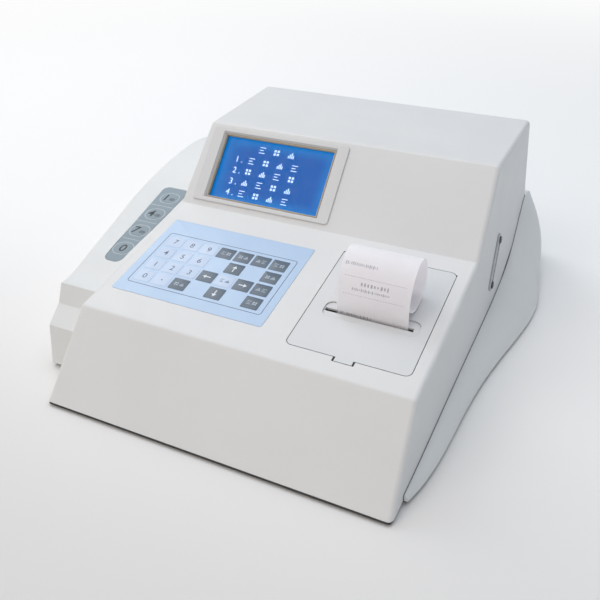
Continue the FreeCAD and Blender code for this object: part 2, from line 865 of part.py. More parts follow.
def idler_axis():
    """The idler sits straight below the platen, along the way the lid lifts it off."""
    s, h = hinge_line()
    lift = math.atan2(s - platen_axis[0], platen_axis[1] - h)
    distance = gear_module * (platen_teeth + idler_teeth) / 2.0
    way = (-math.cos(lift), -math.sin(lift))
    turn = math.degrees(math.atan2(way[1], way[0]))
    return platen_axis[0] + distance * way[0], platen_axis[1] + distance * way[1], turn


def motor_axis():
    """The motor's pinion meshes with the idler from the front."""
    s, h, _ = idler_axis()
    return s - gear_module * (idler_teeth + pinion_teeth) / 2.0, h


def platen_gear():
    """Gear on the platen's end, a tooth pointing at the idler."""
    _, _, way = idler_axis()
    wheel = gear(platen_teeth, platen_axis, gear_x, axle_radius + 0.01, way)
    key = box(
        gear_x,
        (platen_axis[0] - 1.2, platen_axis[0] + 1.2),
        (platen_axis[1] + axle_radius - 0.48, platen_axis[1] + axle_radius + 0.4),
    )
    return placed(fuse([wheel, key]), DECK)


def idler_gear():
    """Idler with a gap that takes the platen gear's tooth."""
    s, h, way = idler_axis()
    step = 360.0 / idler_teeth
    return placed(gear(idler_teeth, (s, h), gear_x, 1.0 + running_gap, way + 180.0 + step / 2.0), DECK)


def idler_phase():
    """Turn of the idler tooth nearest the pinion, measured from the deck's line."""
    _, _, way = idler_axis()
    step = 360.0 / idler_teeth
    first = way + 180.0 + step / 2.0
    return first + round((180.0 - first) / step) * step


def motor_pinion():
    """Brass pinion on the motor's shaft, phased so that its gap takes the idler's tooth."""
    offset = (idler_phase() - 180.0) * idler_teeth / pinion_teeth
    turn = -offset + 180.0 / pinion_teeth
    return placed(gear(pinion_teeth, motor_axis(), gear_x, 0.76, turn), DECK)


def idler_pin():
    """Fixed stub that the idler turns on."""
    s, h, _ = idler_axis()
    return placed(rod(1.0, (chassis_plate_x()[0], s, h), (gear_x[1] + 0.2, s, h)), DECK)


def chassis_plate_x():
    """The printer chassis's left plate."""
    return gear_x[0] - 3.2, gear_x[0] - 1.7


def printer_chassis():
    """Moulded carrier in the tub: floor, side plates, motor wall and the head's cross-bar."""
    far = (lug_far_x[1] + 2.4, lug_far_x[1] + 3.9)
    near = chassis_plate_x()
    floor_h = (-tub_front_depth + tub_wall, -tub_front_depth + tub_wall + 2.0)
    s_limits = (30.0, 73.5)
    s, h, _ = idler_axis()
    shaft = motor_axis()
    wall_x = (gear_x[1] + 1.0, gear_x[1] + 2.5)
    parts = [
        box((near[0], far[1]), s_limits, floor_h),
        box(near, (46.0, 73.5), (floor_h[0], -9.0)),
        box(far, (58.0, 73.5), (floor_h[0], -9.0)),
        box(wall_x, (36.0, 66.0), (floor_h[0], -18.6)),
        box((near[0], far[1]), (71.5, 73.5), (-24.0, -9.0)),
    ]
    holes = [
        rod(1.01, (near[0] - 1.0, s, h), (near[1] + 1.0, s, h)),
        rod(3.0, (wall_x[0] - 1.0, *shaft), (wall_x[1] + 1.0, *shaft)),
    ]
    return placed(fuse(parts).cut(holes), DECK)


def print_head():
    """Thermal head: ceramic face towards the platen, heat sink behind it."""
    face = platen_axis[0] + platen_radius + paper_thickness + 0.25
    sink = box((paper_x[0] - 2.0, paper_x[1] + 2.0), (face + 0.8, 71.5), (-20.0, -6.5))
    ceramic = box((paper_x[0] - 1.0, paper_x[1] + 1.0), (face, face + 1.0), (-17.0, -8.0))
    starts = [paper_x[0] + 4.0 + 4.4 * i for i in range(12)]
    grooves = [box((x, x + 1.6), (face + 2.6, 71.6), (-21.0, -8.5)) for x in starts]
    return placed(fuse([sink, ceramic]).cut(grooves), DECK)


def print_motor():
    """Small stepper motor with its shaft towards the gears."""
    s, h = motor_axis()
    wall = gear_x[1] + 2.5
    can = rod(motor_radius, (wall, s, h), (wall + motor_length, s, h))
    boss = rod(2.9, (wall - 1.4, s, h), (wall + 0.5, s, h))
    shaft = rod(0.75, (gear_x[0], s, h), (wall, s, h))
    return placed(fuse([can, boss]).cut(rod(0.85, (wall - 2.0, s, h), (wall - 0.1, s, h))).fuse(shaft), DECK)


def tub_block(inset, top):
    """The tub as a full block: a front compartment and a round-bottomed bucket for the roll."""
    s, h = roll_axis
    x = (tub_x[0] + inset, tub_x[1] - inset)
    radius = cradle_radius - inset
    front = box(x, (tub_front + inset, s), (-tub_front_depth + inset, top))
    bucket = rod(radius, (x[0], s, h), (x[1], s, h))
    rear = box(x, (s - radius, s + radius), (h, top))
    return fuse([front, bucket, rear])


def printer_tub():
    """Moulded tub under the deck with the roll's bucket and its two spindle cradles."""
    s, h = roll_axis
    ledge = -shell_wall - lid_rest_gap
    outer = tub_block(0, ledge)
    flange = lid_outline(lid_gap + tub_flange, (ledge - tub_flange_thickness, ledge))
    rim = lid_outline(lid_gap + tub_flange, (ledge - 0.1, -shell_wall)).cut(lid_outline(lid_gap, (-8.0, 0.0)))
    hollow = tub_block(tub_wall, 2.0)
    heel = box(
        (lid_x[0] - lid_gap, lid_x[1] + lid_gap),
        (s + cradle_radius, lid_s[1] + lid_gap + 0.3),
        (ledge - tub_flange_thickness - 1.0, 0.0),
    )
    body = fuse([outer, flange, rim]).cut([hollow, heel])
    near = (tub_x[0] + tub_wall - 0.2, tub_x[0] + tub_wall + cradle_thickness)
    far = (tub_x[1] - tub_wall - cradle_thickness, tub_x[1] - tub_wall + 0.2)
    seat = journal_radius + running_gap
    slot = fuse(
        [
            rod(seat, (tub_x[0] + tub_wall, s, h), (tub_x[1] - tub_wall, s, h)),
            box((tub_x[0] + tub_wall, tub_x[1] - tub_wall), (s - seat, s + seat), (h, h + 20.0)),
        ]
    )
    cradles = [
        box(x, (s - 8.0, s + 8.0), (h - cradle_radius + 1.0, h + 9.0)).cut(slot) for x in (near, far)
    ]
    return placed(fuse([body] + cradles), DECK).common(console_block(shell_wall))


def paper_spindle():
    """Spindle that carries the roll, with narrow journals in the cradles."""
    s, h = roll_axis
    near = tub_x[0] + tub_wall + 0.3
    far = tub_x[1] - tub_wall - 0.3
    shoulder = cradle_thickness + 0.6
    journal = rod(journal_radius, (near, s, h), (far, s, h))
    drum = rod(spindle_radius, (near + shoulder, s, h), (far - shoulder, s, h))
    return placed(fuse([journal, drum]), DECK)


def paper_core():
    """Cardboard core of the roll."""
    s, h = roll_axis
    return placed(sleeve(core_radius, spindle_radius + 0.02, (paper_x[0], s, h), (paper_x[1], s, h)), DECK)


def paper_roll():
    """Thermal paper wound on its core."""
    s, h = roll_axis
    return placed(sleeve(roll_radius, core_radius + 0.02, (paper_x[0], s, h), (paper_x[1], s, h)), DECK)


def paper_strip(path):
    """A strip of paper along a path of edges in the plane x = 0 of the deck."""
    sheet = Part.Wire(path).extrude(V(paper_x[1] - paper_x[0], 0, 0)).translated(V(paper_x[0], 0, 0))
    return placed(sheet.makeOffsetShape(paper_thickness, 0.01, fill=True), DECK)


def paper_line():
    """Distance along the deck of the paper's face as it leaves the head."""
    return platen_axis[0] + platen_radius + paper_thickness / 2.0 + 0.1


def paper_web():
    """Paper from the top of the roll, round under the head and up past the platen."""
    s, h = roll_axis
    run = paper_line()
    turn_s, turn_h = run + web_bend, web_turn_height
    clear = roll_radius + web_clearance
    axis = math.atan2(h - turn_h, s - turn_s)
    rise = axis + math.asin((web_bend + clear) / math.hypot(s - turn_s, h - turn_h))
    low = (turn_s + web_bend * math.sin(rise), turn_h - web_bend * math.cos(rise))
    high = (s - clear * math.sin(rise), h + clear * math.cos(rise))
    path = [
        line(V(0, *high), V(0, *low)),
        arc(V(0, *low), V(0, turn_s - web_bend * 0.6, turn_h - web_bend * 0.8), V(0, run, turn_h)),
        line(V(0, run, turn_h), V(0, run, slip_start - 0.6)),
    ]
    return paper_strip(path)


def paper_slip():
    """Printed slip that stands out of the slot and curls over into an almost closed loop."""
    run = paper_line()
    curl = Part.BSplineCurve()
    curl.interpolate([V(0, run, 0.5)] + [V(0, *point) for point in slip_curl])
    return paper_strip([line(V(0, run, slip_start), V(0, run, 0.5)), curl.toShape()])


# Optics

def on_bench(*offsets):
    """Places across the console, measured from the bench's left end."""
    return tuple(bench_x[0] + offset for offset in offsets)


def optical_bench():
    """Cast plate on four posts with ribs under it and a foot for each part on the beam."""
    plate = rounded_box(bench_x, bench_y, (bench_z, bench_z + bench_thickness), 5.0)
    ribs = [box((bench_x[0] + 14.0, bench_x[1] - 14.0), (y, y + 3.0), (bench_z - 5.0, bench_z + 0.5))
            for y in (optical_y - 2.0, optical_y + wheel_offset)]
    low = bench_z + bench_thickness - 0.5
    feet = [
        box(on_bench(39.0, 51.0), (optical_y - 9.0, optical_y + 9.0), (low, optical_z - 9.0)),
        box(on_bench(73.0, 95.0), (optical_y - 9.0, optical_y + 9.0), (low, optical_z - 10.0)),
        box(on_bench(69.0, 77.0), (optical_y + 12.0, optical_y + 30.0), (low, optical_z - 10.0)),
    ]
    return fuse([plate] + ribs + feet)


def lamp_house():
    """Finned aluminium housing with a window on the beam."""
    x, y = on_bench(1.0, 35.0), (optical_y - 17.0, optical_y + 17.0)
    z = (bench_z + bench_thickness, optical_z + 20.0)
    block = box(x, y, z)
    hollow = box((x[0] + 4.0, x[1] - 4.0), (y[0] + 6.0, y[1] - 6.0), (z[0] + 4.0, z[1] + 1.0))
    window = rod(6.0, (x[1] - 6.0, optical_y, optical_z), (x[1] + 1.0, optical_y, optical_z))
    fins = []
    for i in range(7):
        level = z[0] + 6.0 + 8.0 * i
        fins.append(box((x[0] - 1.0, x[1] + 1.0), (y[0] - 1.0, y[0] + 3.0), (level, level + 4.0)))
        fins.append(box((x[0] - 1.0, x[1] + 1.0), (y[1] - 3.0, y[1] + 1.0), (level, level + 4.0)))
    return block.cut([hollow, window] + fins)


def halogen_lamp():
    """Bulb on its ceramic base, standing in the lamp house."""
    x = bench_x[0] + 18.0
    low = bench_z + bench_thickness + 4.0
    base = rod(6.5, (x, optical_y, low), (x, optical_y, optical_z - 14.0))
    neck = rod(3.5, (x, optical_y, optical_z - 15.0), (x, optical_y, optical_z - 6.0))
    bulb = Part.makeSphere(6.0, V(x, optical_y, optical_z - 1.0))
    return fuse([base, neck, bulb])


def lens_tube():
    """Black tube with a stop at its front and a seat for the lens."""
    front, stop, rear = on_bench(35.4, 48.3, 52.0)
    tube = sleeve(9.0, 6.2, (front, optical_y, optical_z), (rear, optical_y, optical_z))
    seat = rod(7.52, (stop, optical_y, optical_z), (rear + 1.0, optical_y, optical_z))
    return tube.cut(seat)


def condenser_lens():
    """Biconvex lens: two caps of a sphere back to back."""
    radius = 18.0
    middle = bench_x[0] + 49.6
    first = Part.makeSphere(radius, V(middle - radius + 2.2, optical_y, optical_z))
    second = Part.makeSphere(radius, V(middle + radius - 2.2, optical_y, optical_z))
    rim = rod(7.5, (middle - 3.0, optical_y, optical_z), (middle + 3.0, optical_y, optical_z))
    return first.common(second).common(rim)


def wheel_x():
    return on_bench(56.0, 56.0 + wheel_thickness)


def wheel_centre():
    return optical_y + wheel_offset, optical_z


def filter_seats(radius, x):
    """Rods at the filters' places round the wheel."""
    y, z = wheel_centre()
    places = []
    for i in range(filter_count):
        angle = math.pi + 2.0 * math.pi * i / filter_count
        point = (y + wheel_offset * math.cos(angle), z + wheel_offset * math.sin(angle))
        places.append(rod(radius, (x[0], *point), (x[1], *point)))
    return places


def filter_wheel():
    """Wheel with eight stepped filter seats, a hub and a timing notch."""
    y, z = wheel_centre()
    x = wheel_x()
    disc = rod(wheel_radius, (x[0], y, z), (x[1], y, z))
    hub = rod(6.0, (x[0], y, z), (x[1] + 3.0, y, z))
    notch = box((x[0] - 1, x[1] + 1), (y - 1.5, y + 1.5), (z + wheel_radius - 3.0, z + wheel_radius + 1.0))
    bore = rod(1.5, (x[0] - 1, y, z), (x[1] + 4, y, z))
    through = filter_seats(filter_radius - 1.0, (x[0] - 1, x[1] + 1))
    seats = filter_seats(filter_radius + 0.02, (x[0] - 1, x[0] + 2.6))
    return fuse([disc, hub]).cut([notch, bore] + through + seats)


def interference_filters():
    """Eight coloured glass discs in the wheel."""
    x = wheel_x()
    return group(filter_seats(filter_radius, (x[0] + 0.2, x[0] + 2.6)))


def filter_motor():
    """Stepper motor behind the wheel, its shaft tight in the hub."""
    y, z = wheel_centre()
    front = wheel_x()[1] + 5.0
    can = rod(10.0, (front + 1.5, y, z), (front + 16.0, y, z))
    boss = rod(3.0, (front, y, z), (front + 2.0, y, z))
    flange = box((front + 1.5, front + 3.0), (y - 9.0, y + 9.0), (z - 10.5, z + 10.5))
    return fuse([can, boss, flange])


def filter_shaft():
    """The motor's shaft, which turns with the wheel."""
    y, z = wheel_centre()
    return rod(1.48, (wheel_x()[0], y, z), (wheel_x()[1] + 4.9, y, z))


def flow_cell_block():
    """Heated block with a pocket for the flow cell and a bore for the beam."""
    y, z = optical_y, optical_z
    block = box(on_bench(74.0, 94.0), (y - 9.0, y + 9.0), (z - 10.0, z + 14.0))
    pocket = box(on_bench(78.0, 90.0), (y - 6.2, y + 6.2), (z - 8.0, z + 15.0))
    start, end = on_bench(73.0, 95.0)
    beam = rod(2.5, (start, y, z), (end, y, z))
    return block.cut([pocket, beam])


def flow_cell():
    """Quartz cell with two tube stubs on top."""
    body = box(on_bench(78.2, 89.8), (optical_y - 6.0, optical_y + 6.0), (optical_z - 8.0, optical_z + 10.0))
    low, high = optical_z + 9.5, optical_z + 18.0
    stubs = [sleeve(1.6, 0.8, (x, optical_y, low), (x, optical_y, high)) for x in on_bench(81.0, 87.0)]
    return fuse([body] + stubs)


def detector_board():
    """Photodiode on an upright board behind the cell."""
    low = bench_z + bench_thickness
    board = box(on_bench(95.0, 96.6), (optical_y - 14.0, optical_y + 14.0), (low, optical_z + 16.0))
    start, end = on_bench(94.0, 95.2)
    diode = rod(4.0, (start, optical_y, optical_z), (end, optical_y, optical_z))
    connector = box(on_bench(96.4, 102.0), (optical_y - 8.0, optical_y + 8.0), (low + 4.0, low + 11.0))
    return fuse([board, diode, connector])


# Pump

def pump_motor():
    """Geared motor standing on the tray under the pump head."""
    x, y = pump_centre
    can = rod(14.0, (x, y, floor_z), (x, y, pump_z - 6.0))
    flange = box((x - 19.0, x + 19.0), (y - 16.0, y + 16.0), (pump_z - 8.0, pump_z - 4.0))
    return fuse([can, flange]).cut(rod(3.0 + running_gap, (x, y, pump_z - 9.4), (x, y, pump_z)))


def pump_housing():
    """Round track block, open to the front where the tube comes in and out."""
    x, y = pump_centre
    outer = pump_track_radius + 3.4
    floor_top = pump_z - 2.0
    block = rod(outer, (x, y, pump_z - 4.0), (x, y, pump_z + 12.0))
    well = rod(pump_track_radius, (x, y, floor_top), (x, y, pump_z + 13.0))
    sides = (x - pump_track_radius, x + pump_track_radius)
    mouth = box(sides, (y - outer - 2.0, y), (floor_top, pump_z + 13.0))
    shaft = rod(3.2, (x, y, pump_z - 5.0), (x, y, floor_top + 1.0))
    return block.cut([well, mouth, shaft])


def pump_rotor():
    """Two plates on a hub and shaft with pins for the rollers between them."""
    x, y = pump_centre
    low, high = pump_z - 1.4, pump_z + 9.4
    shape = [
        rod(3.0, (x, y, pump_z - 9.0), (x, y, high + 2.0)),
        rod(6.0, (x, y, low), (x, y, high)),
        rod(pump_roller_circle + 2.6, (x, y, low), (x, y, low + 1.6)),
        rod(pump_roller_circle + 2.6, (x, y, high - 1.6), (x, y, high)),
    ]
    shape += [rod(1.2, (px, py, low + 0.5), (px, py, high - 0.5)) for px, py in roller_places()]
    return fuse(shape)


def roller_places():
    """Centres of the rollers round the pump's axis."""
    x, y = pump_centre
    places = []
    for i in range(pump_rollers):
        angle = math.pi / 2.0 + 2.0 * math.pi * i / pump_rollers
        places.append((x + pump_roller_circle * math.cos(angle), y + pump_roller_circle * math.sin(angle)))
    return places


def pump_roller(index):
    """One free roller on its pin."""
    px, py = roller_places()[index]
    low, high = pump_z + 0.4, pump_z + 7.6
    return sleeve(pump_roller_radius, 1.2 + running_gap, (px, py, low), (px, py, high))


def pump_tube():
    """Silicone tube round the track, its two ends leaving to the front."""
    x, y = pump_centre
    radius = pump_track_radius - pump_tube_radius
    z = pump_z + 4.0
    left, right, top = V(x - radius, y, z), V(x + radius, y, z), V(x, y + radius, z)
    out = 34.0
    start, end = left - V(0, out, 0), right - V(0, out, 0)
    path = Part.Wire([line(start, left), arc(left, top, right), line(right, end)])
    ring = Part.Wire([Part.makeCircle(pump_tube_radius, start, Y_AXIS)])
    bore = Part.Wire([Part.makeCircle(pump_tube_radius * 0.5, start, Y_AXIS)])
    return path.makePipeShell([ring], True, False).cut(path.makePipeShell([bore], True, False))


# Electronics

def main_board():
    """Controller board under the keypad with its chips, coils and connectors."""
    z = main_board_z
    board = box(main_board_x, main_board_y, (z, z + board_thickness))
    top = z + board_thickness - 0.1
    left, front = main_board_x[0], main_board_y[0]
    low = [(26.0, 30.0, 24.0, 24.0, 2.0), (70.0, 30.0, 18.0, 18.0, 2.0), (70.0, 70.0, 12.0, 18.0, 2.0),
           (100.0, 34.0, 10.0, 22.0, 3.0), (18.0, 84.0, 30.0, 12.0, 3.0)]
    tall = [(6.0, 120.0, 34.0, 8.0, 9.0), (50.0, 120.0, 40.0, 8.0, 9.0), (124.0, 84.0, 16.0, 16.0, 11.0)]
    blocks = [box((left + x, left + x + w), (front + y, front + y + d), (top, top + h + 0.1))
              for x, y, w, d, h in low + tall]
    cans = [rod(5.0, (left + x, front + 12.0, top), (left + x, front + 12.0, top + 12.0))
            for x in (90.0, 104.0, 118.0, 132.0)]
    return fuse([board] + blocks + cans)


def supply_frame():
    """Folded open frame of the power supply, standing on the tray."""
    outer = box(supply_x, supply_y, (floor_z, floor_z + supply_height))
    inner = box(
        (supply_x[0] + 1.2, supply_x[1] + 1.0),
        (supply_y[0] - 1.0, supply_y[1] + 1.0),
        (floor_z + 1.2, floor_z + supply_height + 1.0),
    )
    slots = [
        box((supply_x[0] - 1.0, supply_x[0] + 2.0), (y, y + 3.0), (floor_z + 10.0, floor_z + 30.0))
        for y in [supply_y[0] + 12.0 + 9.0 * i for i in range(13)]
    ]
    return outer.cut([inner] + slots)


def supply_board():
    """Switching supply board with transformer, capacitors and heat sink."""
    x = (supply_x[0] + 4.0, supply_x[1] - 2.0)
    y = (supply_y[0] + 3.0, supply_y[1] - 3.0)
    z = floor_z + 1.2 + 5.0
    board = box(x, y, (z, z + board_thickness))
    top = z + board_thickness - 0.1
    parts = [
        box((x[0] + 22.0, x[0] + 52.0), (y[0] + 44.0, y[0] + 72.0), (top, top + 25.0)),
        box((x[0] + 4.0, x[0] + 8.0), (y[0] + 20.0, y[0] + 100.0), (top, top + 22.0)),
        rod(9.0, (x[0] + 30.0, y[0] + 98.0, top), (x[0] + 30.0, y[0] + 98.0, top + 26.0)),
        rod(6.0, (x[0] + 24.0, y[0] + 20.0, top), (x[0] + 24.0, y[0] + 20.0, top + 20.0)),
        rod(6.0, (x[0] + 40.0, y[0] + 20.0, top), (x[0] + 40.0, y[0] + 20.0, top + 20.0)),
    ]
    posts = [
        rod(2.5, (px, py, floor_z + 1.2), (px, py, z + 0.1))
        for px in (x[0] + 5.0, x[1] - 5.0)
        for py in (y[0] + 5.0, y[1] - 5.0)
    ]
    return fuse([board] + parts + posts)


def fan_y():
    """Front and rear of the fan, flat against the console's rear wall."""
    return console_depth - shell_wall - fan_thickness, console_depth - shell_wall


def fan_frame():
    """Square fan frame with a round duct, struts and a motor cup."""
    cx, cz = fan_centre
    y = fan_y()
    half = fan_size / 2.0
    frame = box((cx - half, cx + half), y, (cz - half, cz + half))
    upright = [e for e in frame.Edges if abs(e.BoundBox.YLength - fan_thickness) < 0.01]
    frame = frame.makeFillet(4.0, upright)
    duct = rod(half - 2.0, (cx, y[0] - 1, cz), (cx, y[1] + 1, cz))
    holes = [
        rod(2.1, (cx + i * 25.0, y[0] - 1, cz + j * 25.0), (cx + i * 25.0, y[1] + 1, cz + j * 25.0))
        for i in (-1, 1)
        for j in (-1, 1)
    ]
    cup = rod(12.0, (cx, y[1] - 3.0, cz), (cx, y[1] - 0.5, cz))
    struts = [
        box((cx - 1.2, cx + 1.2), (y[1] - 3.0, y[1] - 0.5), (cz + 8.0, cz + half - 1.0)).rotate(
            V(cx, 0, cz), Y_AXIS, 45.0 + 90.0 * i
        )
        for i in range(4)
    ]
    pin = rod(1.5, (cx, y[0] + 3.0, cz), (cx, y[1] - 2.0, cz))
    return fuse([frame.cut([duct] + holes), cup, pin] + struts)


def fan_rotor():
    """Hub with seven raked blades."""
    cx, cz = fan_centre
    y = fan_y()[0]
    hub = rod(12.0, (cx, y + 1.2, cz), (cx, y + 11.4, cz))
    ring = sleeve(26.4, 11.0, (cx, y + 1.6, cz), (cx, y + 11.0, cz))
    blades = []
    for i in range(fan_blades):
        blade = box((cx + 10.0, cx + 28.0), (y - 4.0, y + 17.0), (cz - 0.7, cz + 0.7))
        blade.rotate(V(cx, y + 6.3, cz), X_AXIS, 38.0)
        blade.rotate(V(cx, 0, cz), Y_AXIS, 360.0 * i / fan_blades)
        blades.append(blade.common(ring))
    bore = rod(1.5 + running_gap, (cx, y, cz), (cx, y + 12.0, cz))
    return fuse([hub] + blades).cut(bore)


# Rear panel and its fittings

def panel_y():
    return base_depth - rear_panel_thickness, base_depth


def fitting_hole(centre, size, margin):
    """Opening in the rear panel for a fitting, grown by a margin."""
    half_w, half_h = size[0] / 2.0 + margin, size[1] / 2.0 + margin
    return box(
        (centre[0] - half_w, centre[0] + half_w),
        (base_depth - 60.0, base_depth + 20.0),
        (centre[1] - half_h, centre[1] + half_h),
    )


def rear_panel():
    """Aluminium plate with openings for the inlet, the switch and the serial port."""
    fit = 0.2
    x = (rear_panel_x[0] + fit, rear_panel_x[1] - fit)
    z = (rear_panel_z[0] + fit, rear_panel_z[1] - fit)
    plate = box(x, panel_y(), z)
    return plate.cut(
        [
            fitting_hole(inlet_centre, inlet_size, 0.1),
            fitting_hole(switch_centre, switch_size, 0.1),
            fitting_hole(serial_centre, serial_size, 1.6),
        ]
    )


def power_inlet():
    """Three-pin appliance inlet: flange, chamfered cavity and blades."""
    cx, cz = inlet_centre
    w, h = inlet_size[0] / 2.0, inlet_size[1] / 2.0
    front, back = base_depth + 2.2, base_depth - inlet_depth
    flange = box((cx - w - 3.0, cx + w + 3.0), (base_depth, front), (cz - h - 3.0, cz + h + 3.0))
    corners = [e for e in flange.Edges if abs(e.BoundBox.YLength - 2.2) < 0.01]
    flange = flange.makeFillet(2.0, corners)
    body = box((cx - w, cx + w), (back, base_depth + 1.0), (cz - h, cz + h))
    cavity = [
        (cx - w + 1.4, cz - h + 1.6), (cx + w - 1.4, cz - h + 1.6), (cx + w - 1.4, cz + h - 5.5),
        (cx + w - 5.3, cz + h - 1.6), (cx - w + 5.3, cz + h - 1.6), (cx - w + 1.4, cz + h - 5.5),
    ]
    loop = [V(px, back + 2.0, pz) for px, pz in cavity]
    hollow = Part.Face(Part.makePolygon(loop + [loop[0]])).extrude(V(0, 40, 0))
    blades = [
        box((px - 1.0, px + 1.0), (back + 1.0, front - 7.0), (pz - 2.0, pz + 2.0))
        for px, pz in ((cx - 7.0, cz - 2.0), (cx, cz + 2.0), (cx + 7.0, cz - 2.0))
    ]
    return fuse([fuse([flange, body]).cut(hollow)] + blades)


def rocker_pivot():
    """The rocker's axis, level with the panel."""
    return switch_centre[0], base_depth + 0.4, switch_centre[1]


def power_switch_body():
    """Switch housing with its flange and an open well for the rocker."""
    cx, cz = switch_centre
    w, h = switch_size[0] / 2.0, switch_size[1] / 2.0
    flange = box((cx - w - 1.5, cx + w + 1.5), (base_depth, base_depth + 1.6), (cz - h - 1.5, cz + h + 1.5))
    body = box((cx - w, cx + w), (base_depth - 15.0, base_depth + 0.5), (cz - h, cz + h))
    inner = (cx - w + 1.3, cx + w - 1.3)
    well = box(inner, (base_depth - 8.0, base_depth + 3.0), (cz - h + 1.0, cz + h - 1.0))
    _, y, _ = rocker_pivot()
    pin = rod(1.0, (cx - w + 0.5, y, cz), (cx + w - 0.5, y, cz))
    return fuse([fuse([flange, body]).cut(well), pin])


def power_rocker():
    """Two-sloped rocker that tips about its pin, modelled at rest with its lower half pressed."""
    cx, cz = switch_centre
    w = switch_size[0] / 2.0 - 1.6
    _, y, _ = rocker_pivot()
    reach = switch_size[1] / 2.0 - 1.9
    outline = [
        (y - 4.6, cz - 2.2), (y - 1.0, cz - reach), (y + 2.6, cz - reach + 0.1), (y + 1.5, cz),
        (y + 2.6, cz + reach - 0.1), (y - 1.0, cz + reach), (y - 4.6, cz + 2.2),
    ]
    rocker = prism_x(outline, (cx - w, cx + w))
    rocker.rotate(V(cx, y, cz), X_AXIS, -rocker_travel)
    return rocker.cut(rod(1.0 + running_gap, (cx - w - 1.0, y, cz), (cx + w + 1.0, y, cz)))


def serial_port():
    """Nine-way socket: flange, shell and an insulator with nine contact holes."""
    cx, cz = serial_centre
    w, h = serial_size[0] / 2.0, serial_size[1] / 2.0
    flange = box((cx - w - 7.0, cx + w + 7.0), (base_depth, base_depth + 1.0), (cz - h - 2.0, cz + h + 2.0))
    shell_loop = [V(px, base_depth - 9.0, pz) for px, pz in
                  ((cx - w + 1.2, cz - h), (cx + w - 1.2, cz - h), (cx + w, cz + h), (cx - w, cz + h))]
    shell = Part.Face(Part.makePolygon(shell_loop + [shell_loop[0]])).extrude(V(0, 14.5, 0))
    holes = []
    for row, count in ((1.4, 5), (-1.4, 4)):
        for i in range(count):
            px = cx + (i - (count - 1) / 2.0) * 2.77
            holes.append(rod(0.6, (px, base_depth - 2.0, cz + row), (px, base_depth + 6.0, cz + row)))
    sides = (cx - 12.5, cx + 12.5)
    studs = [rod(2.4, (px, base_depth, cz), (px, base_depth + 4.5, cz)) for px in sides]
    bores = [rod(1.3, (px, base_depth + 0.5, cz), (px, base_depth + 6.0, cz)) for px in sides]
    return fuse([flange, shell] + studs).cut(holes + bores)


# Tube clip on the side

def clip_plan(radius, h):
    """A slot-shaped plan between the clip's two ends, in side coordinates."""
    low, high = V(*clip_low, h[0]), V(*clip_high, h[0])
    along = (high - low).normalize()
    across = V(-along.y, along.x, 0) * radius
    wire = Part.Wire(
        [
            line(low + across, high + across),
            arc(high + across, high + along * radius, high - across),
            line(high - across, low - across),
            arc(low - across, low - along * radius, low + across),
        ]
    )
    return Part.Face(wire).extrude(V(0, 0, h[1] - h[0]))


def side_clip():
    """Oval clip plate with a raised double rail between its two screws."""
    plate = clip_plan(clip_radius, (0.0, clip_thickness))
    rim = [e for e in plate.Edges if e.BoundBox.ZMin > clip_thickness - 0.01]
    plate = plate.makeChamfer(0.4, rim)
    groove = clip_plan(clip_radius - 3.6, (clip_thickness - 0.8, clip_thickness + 1.0))
    ends = (clip_low, clip_high)
    seats = [rod(3.4, (*end, clip_thickness - 0.6), (*end, clip_thickness + 1.0)) for end in ends]
    holes = [rod(1.3, (*end, -1.0), (*end, clip_thickness)) for end in ends]
    return placed(plate.cut([groove] + seats + holes), side_placement())


def side_clip_screws():
    """Round-headed screws that hold the clip."""
    screws = []
    for end in (clip_low, clip_high):
        head = rod(3.2, (*end, clip_thickness - 0.6), (*end, clip_thickness + 1.0))
        shank = rod(1.25, (*end, -2.0), (*end, clip_thickness - 0.5))
        across, high = (end[0] - 4.0, end[0] + 4.0), (end[1] - 0.4, end[1] + 0.4)
        slot = box(across, high, (clip_thickness + 0.4, clip_thickness + 2.0))
        screws.append(fuse([head, shank]).cut(slot))
    return placed(group(screws), side_placement())


def clip_screw_holes():
    """Holes in the console's side for the clip's screws."""
    place = side_placement()
    return [placed(rod(1.3, (*end, -shell_wall - 2.0), (*end, 1.0)), place) for end in (clip_low, clip_high)]


# Assembly

